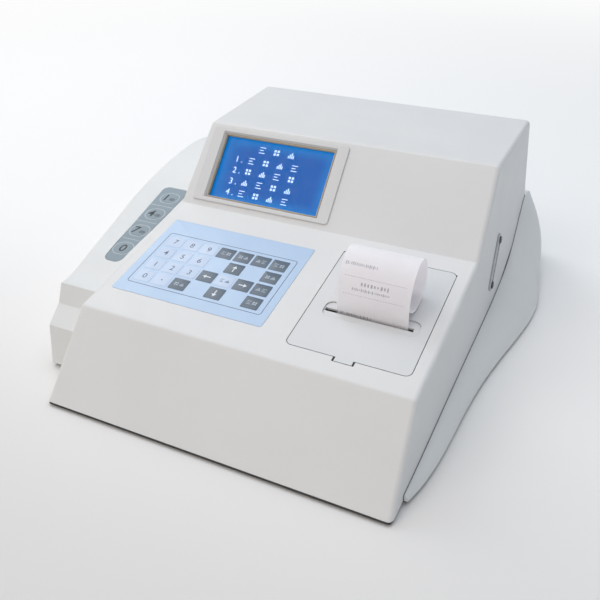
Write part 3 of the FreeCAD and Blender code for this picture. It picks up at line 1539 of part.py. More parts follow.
def build_nodes():
    """Every piece by name, in the console's own coordinates."""
    nodes = {
        "base_tray": base_tray(),
        "rubber_feet": rubber_feet(),
        "base_shell": base_shell(),
        "console_cover": console_cover().cut(clip_screw_holes()),
        "cover_screws": cover_screws(),
        "display_bezel": display_bezel(),
        "display_window": display_window(),
        "display_module": display_module(),
        "display_board": display_board(),
        "keypad_overlay": keypad_overlay(),
        "side_keypad_overlay": side_keypad_overlay(),
        "printer_lid": printer_lid(),
        "lid_hinge_pins": lid_hinge_pins(),
        "platen_bushes": platen_bushes(),
        "platen_axle": platen_axle(),
        "platen_rubber": platen_rubber(),
        "platen_gear": platen_gear(),
        "idler_gear": idler_gear(),
        "idler_pin": idler_pin(),
        "motor_pinion": motor_pinion(),
        "print_motor": print_motor(),
        "printer_chassis": printer_chassis(),
        "print_head": print_head(),
        "printer_tub": printer_tub(),
        "paper_spindle": paper_spindle(),
        "paper_core": paper_core(),
        "paper_roll": paper_roll(),
        "paper_web": paper_web(),
        "paper_slip": paper_slip(),
        "optical_bench": optical_bench(),
        "lamp_house": lamp_house(),
        "halogen_lamp": halogen_lamp(),
        "lens_tube": lens_tube(),
        "condenser_lens": condenser_lens(),
        "filter_wheel": filter_wheel(),
        "interference_filters": interference_filters(),
        "filter_shaft": filter_shaft(),
        "filter_motor": filter_motor(),
        "flow_cell_block": flow_cell_block(),
        "flow_cell": flow_cell(),
        "detector_board": detector_board(),
        "pump_motor": pump_motor(),
        "pump_housing": pump_housing(),
        "pump_rotor": pump_rotor(),
        "pump_tube": pump_tube(),
        "main_board": main_board(),
        "supply_frame": supply_frame(),
        "supply_board": supply_board(),
        "fan_frame": fan_frame(),
        "fan_rotor": fan_rotor(),
        "rear_panel": rear_panel(),
        "power_inlet": power_inlet(),
        "power_switch_body": power_switch_body(),
        "power_rocker": power_rocker(),
        "serial_port": serial_port(),
        "side_clip": side_clip(),
        "side_clip_screws": side_clip_screws(),
    }
    for index in range(pump_rollers):
        nodes[f"pump_roller_{index + 1}"] = pump_roller(index)
    return nodes


def footprint_middle(nodes):
    """Middle of the whole instrument's footprint on the bench."""
    limits = group(list(nodes.values())).optimalBoundingBox(True, False)
    return V((limits.XMin + limits.XMax) / 2.0, (limits.YMin + limits.YMax) / 2.0, 0)


NODES = build_nodes()
ORIGIN = footprint_middle(NODES)

os.makedirs("parts", exist_ok=True)
for name, shape in NODES.items():
    shape.translated(-ORIGIN).exportStep(f"parts/{name}.step")
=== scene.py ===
import logging
import math
from dataclasses import dataclass, replace
from enum import Enum
from typing import Callable, Sequence

import bmesh
import bpy
from mathutils import Matrix, Vector


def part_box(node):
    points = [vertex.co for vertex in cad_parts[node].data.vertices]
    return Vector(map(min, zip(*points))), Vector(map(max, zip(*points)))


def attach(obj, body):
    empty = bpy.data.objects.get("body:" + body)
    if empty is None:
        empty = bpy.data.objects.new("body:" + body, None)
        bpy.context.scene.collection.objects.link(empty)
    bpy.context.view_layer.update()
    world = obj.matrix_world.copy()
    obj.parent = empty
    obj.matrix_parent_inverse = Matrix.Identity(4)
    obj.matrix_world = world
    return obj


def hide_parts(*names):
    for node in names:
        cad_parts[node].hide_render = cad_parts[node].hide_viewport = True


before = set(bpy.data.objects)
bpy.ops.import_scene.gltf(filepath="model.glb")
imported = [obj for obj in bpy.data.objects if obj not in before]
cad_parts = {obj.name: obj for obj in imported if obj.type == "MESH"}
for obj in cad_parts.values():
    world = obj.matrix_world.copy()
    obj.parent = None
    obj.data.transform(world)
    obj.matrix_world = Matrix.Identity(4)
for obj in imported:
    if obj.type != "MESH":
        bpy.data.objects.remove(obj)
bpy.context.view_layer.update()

logging.basicConfig(level=logging.INFO, format="%(message)s")
log = logging.getLogger("analyzer")

Pair = tuple[float, float]
Point = tuple[float, float, float]
Colour = Point
Shape = bmesh.types.BMesh
Socket = bpy.types.NodeSocket
Sockets = tuple[Socket, ...]
Value = Socket | float

MM = 0.001
UV_UNIT = 100.0  # millimetres to one unit of the flat maps
FLAT_AREA = 5.0  # faces larger than this many square millimetres stay flat
PRINT = 0.05  # thickness of print
SINK = 0.02  # how deep print and pads sit in what carries them
BITE = 0.01  # how deep print sits in a raised pad


def srgb(red: float, green: float, blue: float) -> Colour:
    """A display colour of 0 to 255 a channel as linear light."""
    parts = [channel / 255.0 for channel in (red, green, blue)]
    return tuple(c / 12.92 if c <= 0.04045 else ((c + 0.055) / 1.055) ** 2.4 for c in parts)


def new_object(name: str, data: bpy.types.ID | None) -> bpy.types.Object:
    """A new object in the scene that holds some data."""
    item = bpy.data.objects.new(name, data)
    bpy.context.scene.collection.objects.link(item)
    return item


def dress(item: bpy.types.Object, material: bpy.types.Material) -> None:
    """Give an object one material in place of those that it has."""
    item.data.materials.clear()
    item.data.materials.append(material)


# Planes that the details lie on


@dataclass(frozen=True)
class Console:
    """Main sizes of the console in millimetres, from its front foot."""

    depth: float = 394.0
    front_run: float = 57.3
    front_height: float = 65.7
    deck_run: float = 155.0
    deck_rise: float = 22.3
    panel_run: float = 59.7
    panel_rise: float = 60.0
    wing_run: float = 79.5
    wing_height: float = 63.4
    rear: float = 412.0


SIZES = Console()


@dataclass(frozen=True)
class Plane:
    """A flat face of the instrument with its own axes, in millimetres from the console's corner.

    Attributes:
        origin: where the plane's own zero lies.
        right: direction of local x.
        up: direction of local y.
    """

    origin: Point
    right: Point
    up: Point

    def matrix(self) -> Matrix:
        """Local millimetres to the row frame's metres."""
        right, up = Vector(self.right).normalized(), Vector(self.up).normalized()
        turn = Matrix((right, up, right.cross(up))).transposed().to_4x4()
        return console_corner() @ Matrix.Translation(self.origin) @ turn


def console_corner() -> Matrix:
    """The console's middle at its front foot, as the frame places it, with a scale from millimetres."""
    low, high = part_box("console_cover")
    place = Vector(((low.x + high.x) / 2.0, high.y - SIZES.depth * MM, 0.0))
    return Matrix.Translation(place) @ Matrix.Scale(MM, 4)


SLOPE = (0.0, SIZES.deck_run, SIZES.deck_rise)
DECK = Plane((0.0, SIZES.front_run, SIZES.front_height), (1, 0, 0), SLOPE)
PANEL = Plane((0.0, SIZES.front_run + SIZES.deck_run, SIZES.front_height + SIZES.deck_rise), (1, 0, 0),
              (0, SIZES.panel_run, SIZES.panel_rise))
WING = Plane((0.0, SIZES.wing_run, SIZES.wing_height), (1, 0, 0), SLOPE)
REAR = Plane((0.0, SIZES.rear, 0.0), (-1, 0, 0), (0, 0, 1))


# Shader trees


class Tree:
    """Short calls for wiring one shader tree."""

    def __init__(self, tree: bpy.types.NodeTree) -> None:
        self.tree = tree

    def add(self, kind: str, settings: dict | None = None, **inputs: Value) -> bpy.types.Node:
        """Add a node.

        Args:
            kind: the node's type name after "ShaderNode".
            settings: attributes to set on the node.
            inputs: values or sockets by input name, with _ for a space.

        Returns:
            The new node.
        """
        node = self.tree.nodes.new("ShaderNode" + kind)
        for name, value in (settings or {}).items():
            setattr(node, name, value)
        self.feed(node, **inputs)
        return node

    def feed(self, node: bpy.types.Node, **inputs: Value) -> None:
        """Set a node's inputs by name, with _ for a space."""
        for name, value in inputs.items():
            self.plug(node.inputs[name.replace("_", " ")], value)

    def plug(self, socket: Socket, value: Value) -> None:
        """Link a socket to another, or set its value."""
        if isinstance(value, Socket):
            self.tree.links.new(value, socket)
        elif socket.type == "RGBA" and isinstance(value, tuple):
            socket.default_value = (*value, 1.0)
        else:
            socket.default_value = value

    def math(self, operation: str, *values: Value) -> Socket:
        """One step of arithmetic."""
        node = self.add("Math", {"operation": operation})
        for socket, value in zip(node.inputs, values):
            self.plug(socket, value)
        return node.outputs[0]

    def times(self, first: Value, second: Value) -> Socket:
        """One value times another."""
        return self.math("MULTIPLY", first, second)

    def within(self, value: Value, low: float, high: float) -> Socket:
        """1 between two limits, 0 elsewhere."""
        return self.times(self.math("GREATER_THAN", value, low), self.math("LESS_THAN", value, high))

    def ramp(self, value: Value, low: float, high: float, start: float = 0.0, end: float = 1.0) -> Socket:
        """Map a value smoothly between two limits."""
        return self.add("MapRange", {"interpolation_type": "SMOOTHSTEP"}, Value=value, From_Min=low, From_Max=high,
                        To_Min=start, To_Max=end).outputs[0]

    def blend(self, share: Value, first: Socket | Colour, second: Socket | Colour) -> Socket:
        """Mix two colours."""
        node = self.add("Mix", {"data_type": "RGBA"})
        for index, value in ((0, share), (6, first), (7, second)):
            self.plug(node.inputs[index], value)
        return node.outputs[2]

    def noise(self, vector: Socket, scale: Value, detail: float = 2.0, rough: float = 0.5) -> Socket:
        """Noise as a value."""
        return self.add("TexNoise", Vector=vector, Scale=scale, Detail=detail, Roughness=rough).outputs[0]

    def cells(self, vector: Socket, scale: Value) -> Socket:
        """Distance to the nearest of many scattered points."""
        return self.add("TexVoronoi", Vector=vector, Scale=scale).outputs["Distance"]

    def stretch(self, vector: Socket, scale: Point) -> Socket:
        """Scale a vector by axis."""
        return self.add("Mapping", Vector=vector, Scale=scale).outputs[0]

    def axes(self, vector: Socket) -> Sockets:
        """A vector's three numbers."""
        return tuple(self.add("SeparateXYZ", Vector=vector).outputs)


def new_material(name: str) -> tuple[bpy.types.Material, Tree, bpy.types.Node]:
    """A new material with its tree and its shader."""
    material = bpy.data.materials.new(name)
    material.use_nodes = True
    return material, Tree(material.node_tree), material.node_tree.nodes["Principled BSDF"]


def node_group(name: str, inputs: Sequence[str], outputs: Sequence[str], wire: Callable) -> bpy.types.NodeTree:
    """A node group, made once.

    Args:
        name: the group's name.
        inputs: labels of its inputs.
        outputs: labels of its outputs. Vector and Normal are vectors, the rest are values.
        wire: takes a tree and the input sockets, and gives what goes to each output.

    Returns:
        The group.
    """
    found = bpy.data.node_groups.get(name)
    if found:
        return found
    group = bpy.data.node_groups.new(name, "ShaderNodeTree")
    for way, labels in (("INPUT", inputs), ("OUTPUT", outputs)):
        for label in labels:
            kind = "Vector" if label in ("Vector", "Normal") else "Float"
            group.interface.new_socket(label, in_out=way, socket_type="NodeSocket" + kind)
    start, end = group.nodes.new("NodeGroupInput"), group.nodes.new("NodeGroupOutput")
    tree = Tree(group)
    for label, value in zip(outputs, wire(tree, *[start.outputs[label] for label in inputs])):
        tree.plug(end.inputs[label], value)
    return group


class Effect(Enum):
    """The surface effects, each one node group that gives Tone, Gloss and Height."""

    MOULDED = "moulded"
    BRUSHED = "brushed"
    FILM = "film"
    RUBBER = "rubber"
    CIRCUIT = "circuit"
    FIBRE = "fibre"
    CLEAR = "clear"
    TURNED = "turned"
    WOUND = "wound"

    def group(self) -> bpy.types.NodeTree:
        """The effect's node group."""
        return node_group(self.value, ("Vector", "Grain"), ("Tone", "Gloss", "Height"), EFFECTS[self])


def moulded_effect(tree: Tree, vector: Socket, grain: Socket) -> Sockets:
    """Spark-eroded mould texture, faint flow marks and handling sheen."""
    fine = tree.noise(vector, grain, 3.0, 0.6)
    flow = tree.noise(tree.stretch(vector, (3.0, 9.0, 5.0)), 2.4, 3.0)
    broad = tree.noise(vector, 11.0, 4.0, 0.62)
    tone = tree.math("ADD", tree.times(flow, 0.45), tree.times(broad, 0.55))
    rub = tree.noise(vector, 46.0, 5.0, 0.7)
    return tone, tree.ramp(rub, 0.3, 0.7), tree.math("MULTIPLY_ADD", tree.cells(vector, grain), 0.6, fine)


def brushed_effect(tree: Tree, vector: Socket, grain: Socket) -> Sockets:
    """Fine parallel lines with a few deeper scratches."""
    lines = tree.noise(tree.stretch(vector, (0.02, 1.0, 1.0)), grain, 3.0, 0.7)
    scratches = tree.ramp(tree.noise(tree.stretch(vector, (0.3, 6.0, 6.0)), 180.0), 0.62, 0.72)
    return tree.noise(vector, 30.0, 4.0), lines, tree.math("SUBTRACT", lines, tree.times(scratches, 0.5))


def film_effect(tree: Tree, vector: Socket, grain: Socket) -> Sockets:
    """Polyester film: a fine velvet texture over a faint print screen."""
    wipe = tree.noise(tree.stretch(vector, (1.0, 0.35, 1.0)), 90.0, 4.0)
    return tree.noise(vector, 26.0, 3.0), tree.ramp(wipe, 0.35, 0.65), tree.noise(vector, grain, 4.0, 0.7)


def rubber_effect(tree: Tree, vector: Socket, grain: Socket) -> Sockets:
    """Matt rubber with chalky dust in its pores."""
    dust = tree.ramp(tree.noise(vector, 140.0, 5.0, 0.7), 0.5, 0.75)
    return dust, tree.noise(vector, 60.0), tree.cells(vector, grain)


def circuit_effect(tree: Tree, vector: Socket, grain: Socket) -> Sockets:
    """Solder mask over copper tracks and round pads."""
    tracks = tree.add("TexBrick", {"offset": 0.37, "squash": 2.6}, Vector=tree.stretch(vector, (1.0, 1.0, 0.25)),
                      Scale=grain, Mortar_Size=0.022, Brick_Width=0.9, Row_Height=0.11).outputs["Fac"]
    pads = tree.cells(vector, tree.times(grain, 2.6))
    copper = tree.math("MAXIMUM", tracks, tree.ramp(pads, 0.16, 0.12))
    weave = tree.noise(vector, 900.0)
    return copper, tree.math("MULTIPLY_ADD", copper, 0.5, tree.times(weave, 0.4)), copper


def fibre_effect(tree: Tree, vector: Socket, grain: Socket) -> Sockets:
    """Paper fibres with a cloudy formation."""
    fibres = tree.noise(tree.stretch(vector, (1.0, 3.2, 1.0)), grain, 5.0, 0.75)
    return tree.noise(vector, 70.0, 4.0, 0.6), fibres, fibres


def clear_effect(tree: Tree, vector: Socket, grain: Socket) -> Sockets:
    """Polished surface with finger smears and hairline marks."""
    smear = tree.noise(vector, grain, 5.0, 0.65)
    lines = tree.noise(tree.stretch(vector, (0.4, 14.0, 5.0)), grain, 3.0, 0.7)
    return smear, tree.ramp(smear, 0.45, 0.75), tree.times(lines, 0.4)


def turned_effect(tree: Tree, vector: Socket, grain: Socket) -> Sockets:
    """Machined steel: lathe rings and small stains."""
    rings = tree.noise(tree.stretch(vector, (1.0, 0.05, 1.0)), grain, 2.0, 0.6)
    stain = tree.noise(vector, 210.0, 5.0, 0.7)
    return stain, tree.ramp(stain, 0.35, 0.7), rings


def wound_effect(tree: Tree, vector: Socket, grain: Socket) -> Sockets:
    """Edges of paper wound in a tight spiral."""
    _, along, height = tree.axes(vector)
    low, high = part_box("paper_roll")
    middle = (low + high) / 2.0
    flat = [tree.math("SUBTRACT", value, float(centre)) for value, centre in ((along, middle.y), (height, middle.z))]
    radius = tree.math("SQRT", tree.math("ADD", *[tree.times(value, value) for value in flat]))
    turns = tree.math("SINE", tree.times(radius, grain))
    cloud = tree.noise(vector, 90.0, 3.0)
    return tree.math("MULTIPLY_ADD", turns, 0.3, cloud), cloud, turns


EFFECTS: dict[Effect, Callable] = dict(zip(Effect, (
    moulded_effect, brushed_effect, film_effect, rubber_effect, circuit_effect, fibre_effect, clear_effect,
    turned_effect, wound_effect,
)))


def find_edges(tree: Tree, radius: Socket) -> Sockets:
    """Find a shape's edges by rounding its normals: gives the mask and the rounded normal."""
    rounded = tree.add("Bevel", {"samples": 4}, Radius=radius).outputs[0]
    match = tree.add("VectorMath", {"operation": "DOT_PRODUCT"})
    tree.plug(match.inputs[0], rounded)
    tree.plug(match.inputs[1], tree.add("NewGeometry").outputs["Normal"])
    return tree.ramp(match.outputs["Value"], 0.995, 0.86), rounded


def find_shaded_gaps(tree: Tree, reach: Socket) -> Sockets:
    """Mask of narrow gaps from ambient occlusion, used to paint shade and dirt into them."""
    light = tree.add("AmbientOcclusion", {"samples": 6}, Distance=reach).outputs["AO"]
    return (tree.ramp(light, 0.72, 0.2),)


# Finishes


# painted shade: a brownish dark mixed into narrow gaps, where shade falls and dirt settles
SHADE_AND_DIRT_COLOUR = srgb(70, 62, 54)
SHADE_AND_DIRT_REACH = 0.0035
COAT_ROUGHNESS = 0.12
SCATTER_DEPTH = 0.002
SCATTER_SPREAD = (1.0, 0.95, 0.9)


@dataclass(frozen=True)
class Finish:
    """One procedural finish."""

    name: str
    colour: Colour  # main colour, at the effect's light end
    dark: Colour | None  # colour at the effect's dark end, or None for a shade of the main colour
    rough: Pair  # lowest and highest roughness
    effect: Effect  # surface effect that gives its tone, gloss and height
    grain: float  # size of the effect's finest pattern, as a texture scale
    bump: float = 0.00002  # depth of the relief in metres
    edge: float = 0.0  # radius in metres over which sharp edges look rounded and take the edge colour
    worn: Colour | None = None  # colour of the edges: lighter for wear, darker for painted shade along the lid's gap line
    grime: float = 0.0  # strength of the painted shade and dirt in narrow gaps
    metallic: float = 0.0  # 1 for metals
    coat: float = 0.0  # strength of a clear coat
    clear: float = 0.0  # share of light that passes
    ior: float = 1.48  # index of refraction
    glow: float = 0.0  # strength of light that it gives: a real backlight for the display, painted light for the paper
    scatter: float = 0.0  # strength of light spread under the surface

    def like(self, name: str, colour: Colour, dark: Colour | None = None, **changes: object) -> "Finish":
        """A finish of this kind with its own name and colours."""
        return replace(self, name=name, colour=colour, dark=dark, **changes)

    def material(self) -> bpy.types.Material:
        """The finish as a material, made once."""
        found = bpy.data.materials.get(self.name)
        if found:
            return found
        material, tree, shader = new_material(self.name)
        place = tree.add("TexCoord").outputs["Object"]
        look = tree.add("Group", {"node_tree": self.effect.group()}, Vector=place, Grain=self.grain)
        shade = self.dark or tuple(channel * 0.93 for channel in self.colour)
        colour = tree.blend(tree.ramp(look.outputs["Tone"], 0.25, 0.75), shade, self.colour)
        bump = tree.add("Bump", Height=look.outputs["Height"], Distance=self.bump)
        if self.edge:
            group = node_group("edges", ("Radius",), ("Mask", "Normal"), find_edges)
            edges = tree.add("Group", {"node_tree": group}, Radius=self.edge)
            # edge colour: lighter wear by default; the lid's dark edge colour is painted shade that widens its gap
            # line
            worn = self.worn or tuple(min(1.0, channel * 1.12) for channel in self.colour)
            patches = tree.ramp(tree.noise(place, 160.0, 4.0), 0.35, 0.7)
            colour = tree.blend(tree.times(edges.outputs["Mask"], patches), colour, worn)
            tree.plug(bump.inputs["Normal"], edges.outputs["Normal"])
        # painted shade and dirt: colour darkened in narrow gaps, from ambient occlusion
        if self.grime:
            group = node_group("painted_gap_shade", ("Reach",), ("Mask",), find_shaded_gaps)
            shaded_gaps = tree.add("Group", {"node_tree": group}, Reach=SHADE_AND_DIRT_REACH)
            colour = tree.blend(tree.times(shaded_gaps.outputs["Mask"], self.grime), colour, SHADE_AND_DIRT_COLOUR)
        tree.feed(shader, Base_Color=colour, Roughness=tree.ramp(look.outputs["Gloss"], 0.0, 1.0, *self.rough),
                  Normal=bump.outputs[0], Metallic=self.metallic, Coat_Weight=self.coat,
                  Coat_Roughness=COAT_ROUGHNESS, Transmission_Weight=self.clear, IOR=self.ior)
        if self.scatter:
            tree.feed(shader, Subsurface_Weight=self.scatter, Subsurface_Scale=SCATTER_DEPTH,
                      Subsurface_Radius=SCATTER_SPREAD)
        if self.glow:
            tree.feed(shader, Emission_Color=colour, Emission_Strength=self.glow)
        return material


SHELL = Finish("console_plastic", (0.80, 0.79, 0.775), (0.765, 0.757, 0.745), (0.42, 0.52), Effect.MOULDED, 1500.0,
               bump=0.00003, edge=0.0005, scatter=0.05, grime=0.9)
BASE = SHELL.like("base_plastic", (0.80, 0.80, 0.785), (0.765, 0.768, 0.755), rough=(0.44, 0.54))
# the lid's dark edge colour is painted shade along the gap line round it
LID = SHELL.like("lid_plastic", (0.75, 0.75, 0.745), (0.72, 0.722, 0.72), rough=(0.40, 0.50), grain=1700.0,
                 edge=0.0004, worn=(0.40, 0.38, 0.36))
BEZEL = Finish("bezel_plastic", (0.74, 0.73, 0.715), (0.71, 0.70, 0.69), (0.36, 0.46), Effect.MOULDED, 2100.0,
               edge=0.0003, grime=0.25)
CLIP = BEZEL.like("clip_plastic", (0.58, 0.59, 0.60), (0.54, 0.55, 0.56), rough=(0.34, 0.44), grime=1.0)
BLACK = Finish("black_moulding", srgb(36, 37, 40), srgb(30, 31, 34), (0.38, 0.52), Effect.MOULDED, 2200.0,
               edge=0.0003, worn=srgb(80, 81, 84))
NYLON = Finish("gear_nylon", srgb(226, 222, 208), srgb(214, 209, 194), (0.34, 0.48), Effect.MOULDED, 2400.0,
               edge=0.0002, scatter=0.1)
MEMBRANE = Finish("membrane_film", srgb(193, 215, 240), srgb(188, 210, 236), (0.38, 0.5), Effect.FILM, 2600.0,
                  bump=0.000006, coat=0.15)
PALE_KEY = MEMBRANE.like("pale_key_film", srgb(207, 222, 242), srgb(198, 213, 236))
DARK_KEY = MEMBRANE.like("dark_key_film", srgb(90, 104, 119), srgb(83, 97, 112), rough=(0.34, 0.46), coat=0.2)
STRIP = MEMBRANE.like("strip_film", srgb(82, 86, 94), srgb(75, 80, 88), rough=(0.34, 0.48), grain=2400.0, coat=0.2)
STRIP_LINE = MEMBRANE.like("strip_line", srgb(182, 191, 196), rough=(0.36, 0.48), grain=2400.0, coat=0.0)
INK_GREY = MEMBRANE.like("ink_grey", srgb(92, 106, 130), rough=(0.4, 0.5), bump=0.000004, coat=0.0)
INK_PALE = INK_GREY.like("ink_pale", srgb(184, 196, 208))
INK_WHITE = INK_GREY.like("ink_white", srgb(232, 238, 242))
INK_BLACK = INK_GREY.like("ink_black", srgb(32, 34, 38))
GASKET = Finish("gasket_beige", srgb(244, 228, 200), srgb(226, 204, 168), (0.55, 0.7), Effect.RUBBER, 1800.0)
RUBBER = Finish("ground_rubber", srgb(38, 38, 38), srgb(58, 57, 55), (0.6, 0.8), Effect.RUBBER, 2600.0)
TRAY = Finish("tray_coat", srgb(62, 64, 68), srgb(54, 56, 60), (0.45, 0.6), Effect.RUBBER, 1500.0,
              bump=0.00003, edge=0.0003, worn=srgb(140, 140, 142))
STEEL = Finish("turned_steel", (0.62, 0.62, 0.63), (0.52, 0.52, 0.54), (0.22, 0.4), Effect.TURNED, 3600.0,
               metallic=1.0, edge=0.0002)
DARK_STEEL = STEEL.like("blackened_steel", (0.10, 0.10, 0.11), (0.06, 0.06, 0.07), rough=(0.25, 0.4),
                        worn=(0.5, 0.5, 0.5))
BRASS = STEEL.like("machined_brass", (0.72, 0.53, 0.25), (0.62, 0.44, 0.2), rough=(0.2, 0.36), grain=3000.0)
GOLD = STEEL.like("gold_plate", (0.84, 0.64, 0.28), (0.78, 0.57, 0.24), rough=(0.16, 0.26), grain=4200.0, edge=0.0)
ALUMINIUM = Finish("brushed_aluminium", (0.60, 0.61, 0.62), (0.53, 0.54, 0.55), (0.28, 0.42), Effect.BRUSHED,
                   2600.0, metallic=1.0, bump=0.00001, edge=0.0003)
BOARD = Finish("solder_mask", srgb(38, 112, 62), srgb(20, 84, 44), (0.3, 0.5), Effect.CIRCUIT, 26.0,
               bump=0.00003, coat=0.3)
# the paper's faint glow is painted light that brightens it
PAPER = Finish("thermal_paper", srgb(250, 246, 248), srgb(246, 240, 243), (0.5, 0.62), Effect.FIBRE, 900.0,
               bump=0.00001, scatter=0.45, glow=0.06)
CARD = Finish("core_card", srgb(170, 140, 104), srgb(150, 121, 88), (0.7, 0.85), Effect.FIBRE, 700.0, bump=0.00003)
ROLL = Finish("wound_paper", srgb(236, 234, 231), srgb(212, 209, 204), (0.55, 0.65), Effect.WOUND, 9000.0)
TUBE = Finish("silicone_tube", srgb(226, 220, 202), srgb(214, 206, 186), (0.25, 0.4), Effect.CLEAR, 60.0,
              clear=0.35, scatter=0.2)
GLASS = Finish("optical_glass", (0.93, 0.96, 0.97), (0.9, 0.94, 0.96), (0.01, 0.06), Effect.CLEAR, 70.0,
               clear=1.0, ior=1.5, bump=0.000002)
WINDOW = GLASS.like("display_sheet", (0.98, 0.99, 1.0), (0.97, 0.98, 0.99), rough=(0.0, 0.015), grain=60.0,
                    ior=1.12, bump=0.0)
GLYPH = Finish("lit_glyph", srgb(196, 222, 250), srgb(180, 210, 246), (0.3, 0.4), Effect.CLEAR, 300.0, glow=0.7)

DRESSING: tuple[tuple[Finish, str], ...] = (
    (SHELL, "console_cover"),
    (BASE, "base_shell"),
    (LID, "printer_lid"),
    (BEZEL, "display_bezel"),
    (CLIP, "side_clip"),
    (TRAY, "base_tray"),
    (RUBBER, "rubber_feet platen_rubber"),
    (STEEL, "cover_screws lid_hinge_pins platen_axle idler_pin print_motor filter_shaft filter_motor pump_motor"
            " pump_roller_1 pump_roller_2 pump_roller_3 serial_port"),
    (DARK_STEEL, "side_clip_screws"),
    (WINDOW, "display_window"),
    (BOARD, "display_board detector_board main_board supply_board"),
    (BRASS, "platen_bushes motor_pinion"),
    (NYLON, "platen_gear idler_gear pump_housing"),
    (BLACK, "printer_chassis printer_tub paper_spindle lens_tube pump_rotor fan_frame fan_rotor power_inlet"
            " power_switch_body power_rocker display_module"),
    (ALUMINIUM, "print_head optical_bench lamp_house filter_wheel flow_cell_block supply_frame rear_panel"),
    (CARD, "paper_core"),
    (ROLL, "paper_roll"),
    (PAPER, "paper_web"),
    (GLASS, "halogen_lamp condenser_lens interference_filters flow_cell"),
    (TUBE, "pump_tube"),
)


def dress_nodes() -> None:
    """Give every CAD node that stays in view its finish."""
    for finish, names in DRESSING:
        for name in names.split():
            dress(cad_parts[name], finish.material())
            log.info("dressed %s with %s", name, finish.name)


# Shapes, in millimetres on a plane


def tidy(shape: Shape) -> Shape:
    """Point a shape's faces outwards."""
    bmesh.ops.recalc_face_normals(shape, faces=shape.faces[:])
    return shape


def move(shape: Shape, x: float, y: float = 0.0, z: float = 0.0) -> Shape:
    """Shift a shape."""
    bmesh.ops.translate(shape, vec=(x, y, z), verts=shape.verts[:])
    return shape


def round_off(shape: Shape, radius: float, steps: int = 10) -> None:
    """Round the corners of a flat shape."""
    bmesh.ops.bevel(shape, geom=shape.verts[:], offset=radius, offset_type="OFFSET", affect="VERTICES",
                    segments=steps, profile=0.5, material=-1)


def rectangle(width: float, depth: float) -> Shape:
    """A flat rectangle, centred."""
    shape = bmesh.new()
    bmesh.ops.create_grid(shape, x_segments=1, y_segments=1, size=0.5)
    bmesh.ops.scale(shape, vec=(width, depth, 1.0), verts=shape.verts[:])
    return shape


def plate(width: float, depth: float, height: float, radius: float = 0.0, soften: float = 0.0) -> Shape:
    """A flat plate standing on z = 0.

    Args:
        width: size along x.
        depth: size along y.
        height: thickness along z.
        radius: rounding of its plan's corners.
        soften: rounding of its upper rim.

    Returns:
        The plate, centred on x and y.
    """
    shape = rectangle(width, depth)
    if radius:
        round_off(shape, radius, 6)
    return raise_up(shape, height, soften)


def raise_up(shape: Shape, height: float, soften: float = 0.0) -> Shape:
    """Thicken flat faces upwards and round the upper rim."""
    result = bmesh.ops.extrude_face_region(shape, geom=shape.faces[:])
    lifted = [item for item in result["geom"] if isinstance(item, bmesh.types.BMVert)]
    bmesh.ops.translate(shape, vec=(0.0, 0.0, height), verts=lifted)
    tidy(shape)
    if soften:
        rim = [
            edge for edge in shape.edges
            if all(vert.co.z > height * 0.99 for vert in edge.verts) and edge.calc_face_angle(0.0) > 1.0
        ]
        bmesh.ops.bevel(shape, geom=rim, offset=soften, offset_type="OFFSET", affect="EDGES",
                        segments=3, profile=0.5, material=-1)
    return shape


def ring(width: float, depth: float, line: float, height: float, radius: float) -> Shape:
    """A closed line of even width round a rectangle with rounded corners."""
    shape = rectangle(width, depth)
    round_off(shape, radius)
    inner = shape.faces[:]
    bmesh.ops.inset_region(shape, faces=inner, thickness=line, use_boundary=True, use_even_offset=True)
    bmesh.ops.delete(shape, geom=inner, context="FACES")
    return raise_up(shape, height)


def lathe(profile: Sequence[Pair], steps: int) -> Shape:
    """A body of revolution about z from (radius, height) points."""
    shape = bmesh.new()
    verts = [shape.verts.new((radius, 0.0, height)) for radius, height in profile]
    edges = [shape.edges.new(pair) for pair in zip(verts, verts[1:])]
    bmesh.ops.spin(shape, geom=verts + edges, cent=(0, 0, 0), axis=(0, 0, 1), angle=math.tau, steps=steps,
                   use_merge=True)
    bmesh.ops.remove_doubles(shape, verts=shape.verts[:], dist=0.0001)
    return tidy(shape)


def lettering(text: str, size: float, height: float = PRINT, weight: float = 0.0) -> Shape:
    """Digits or signs as thin raised print.

    Args:
        text: what to write.
        size: height of the letters' body.
        height: thickness of the print.
        weight: how much bolder the strokes are.

    Returns:
        The print, centred on x and y.
    """
    curve = bpy.data.curves.new("print", "FONT")
    curve.body = text
    curve.size = size
    curve.offset = weight
    curve.extrude = height / 2.0
    curve.resolution_u = 6
    holder = new_object("print", curve)
    mesh = bpy.data.meshes.new_from_object(holder.evaluated_get(bpy.context.evaluated_depsgraph_get()))
    shape = bmesh.new()
    shape.from_mesh(mesh)
    bpy.data.objects.remove(holder)
    bpy.data.curves.remove(curve)
    bpy.data.meshes.remove(mesh)
    bmesh.ops.remove_doubles(shape, verts=shape.verts[:], dist=0.0001)
    xs, ys = [vert.co.x for vert in shape.verts], [vert.co.y for vert in shape.verts]
    move(shape, -(min(xs) + max(xs)) / 2.0, -(min(ys) + max(ys)) / 2.0, height / 2.0)
    return tidy(shape)


def arrow(length: float, width: float, head: float) -> Shape:
    """A straight printed arrow that points along +x."""
    shaft = move(plate(length - head, width, PRINT), -head / 2.0)
    reach = head / 1.5
    tip = bmesh.new()
    bmesh.ops.create_circle(tip, cap_ends=True, radius=reach, segments=3,
                            matrix=Matrix.Rotation(-math.pi / 2.0, 4, "Z"))
    bmesh.ops.scale(tip, vec=(1.0, 1.25, 1.0), verts=tip.verts[:])
    return joined([shaft, raise_up(move(tip, length / 2.0 - reach), PRINT)])


def joined(shapes: Sequence[Shape]) -> Shape:
    """Several shapes as one."""
    first = shapes[0]
    for other in shapes[1:]:
        absorb(first, other, Matrix.Identity(4))
    return first


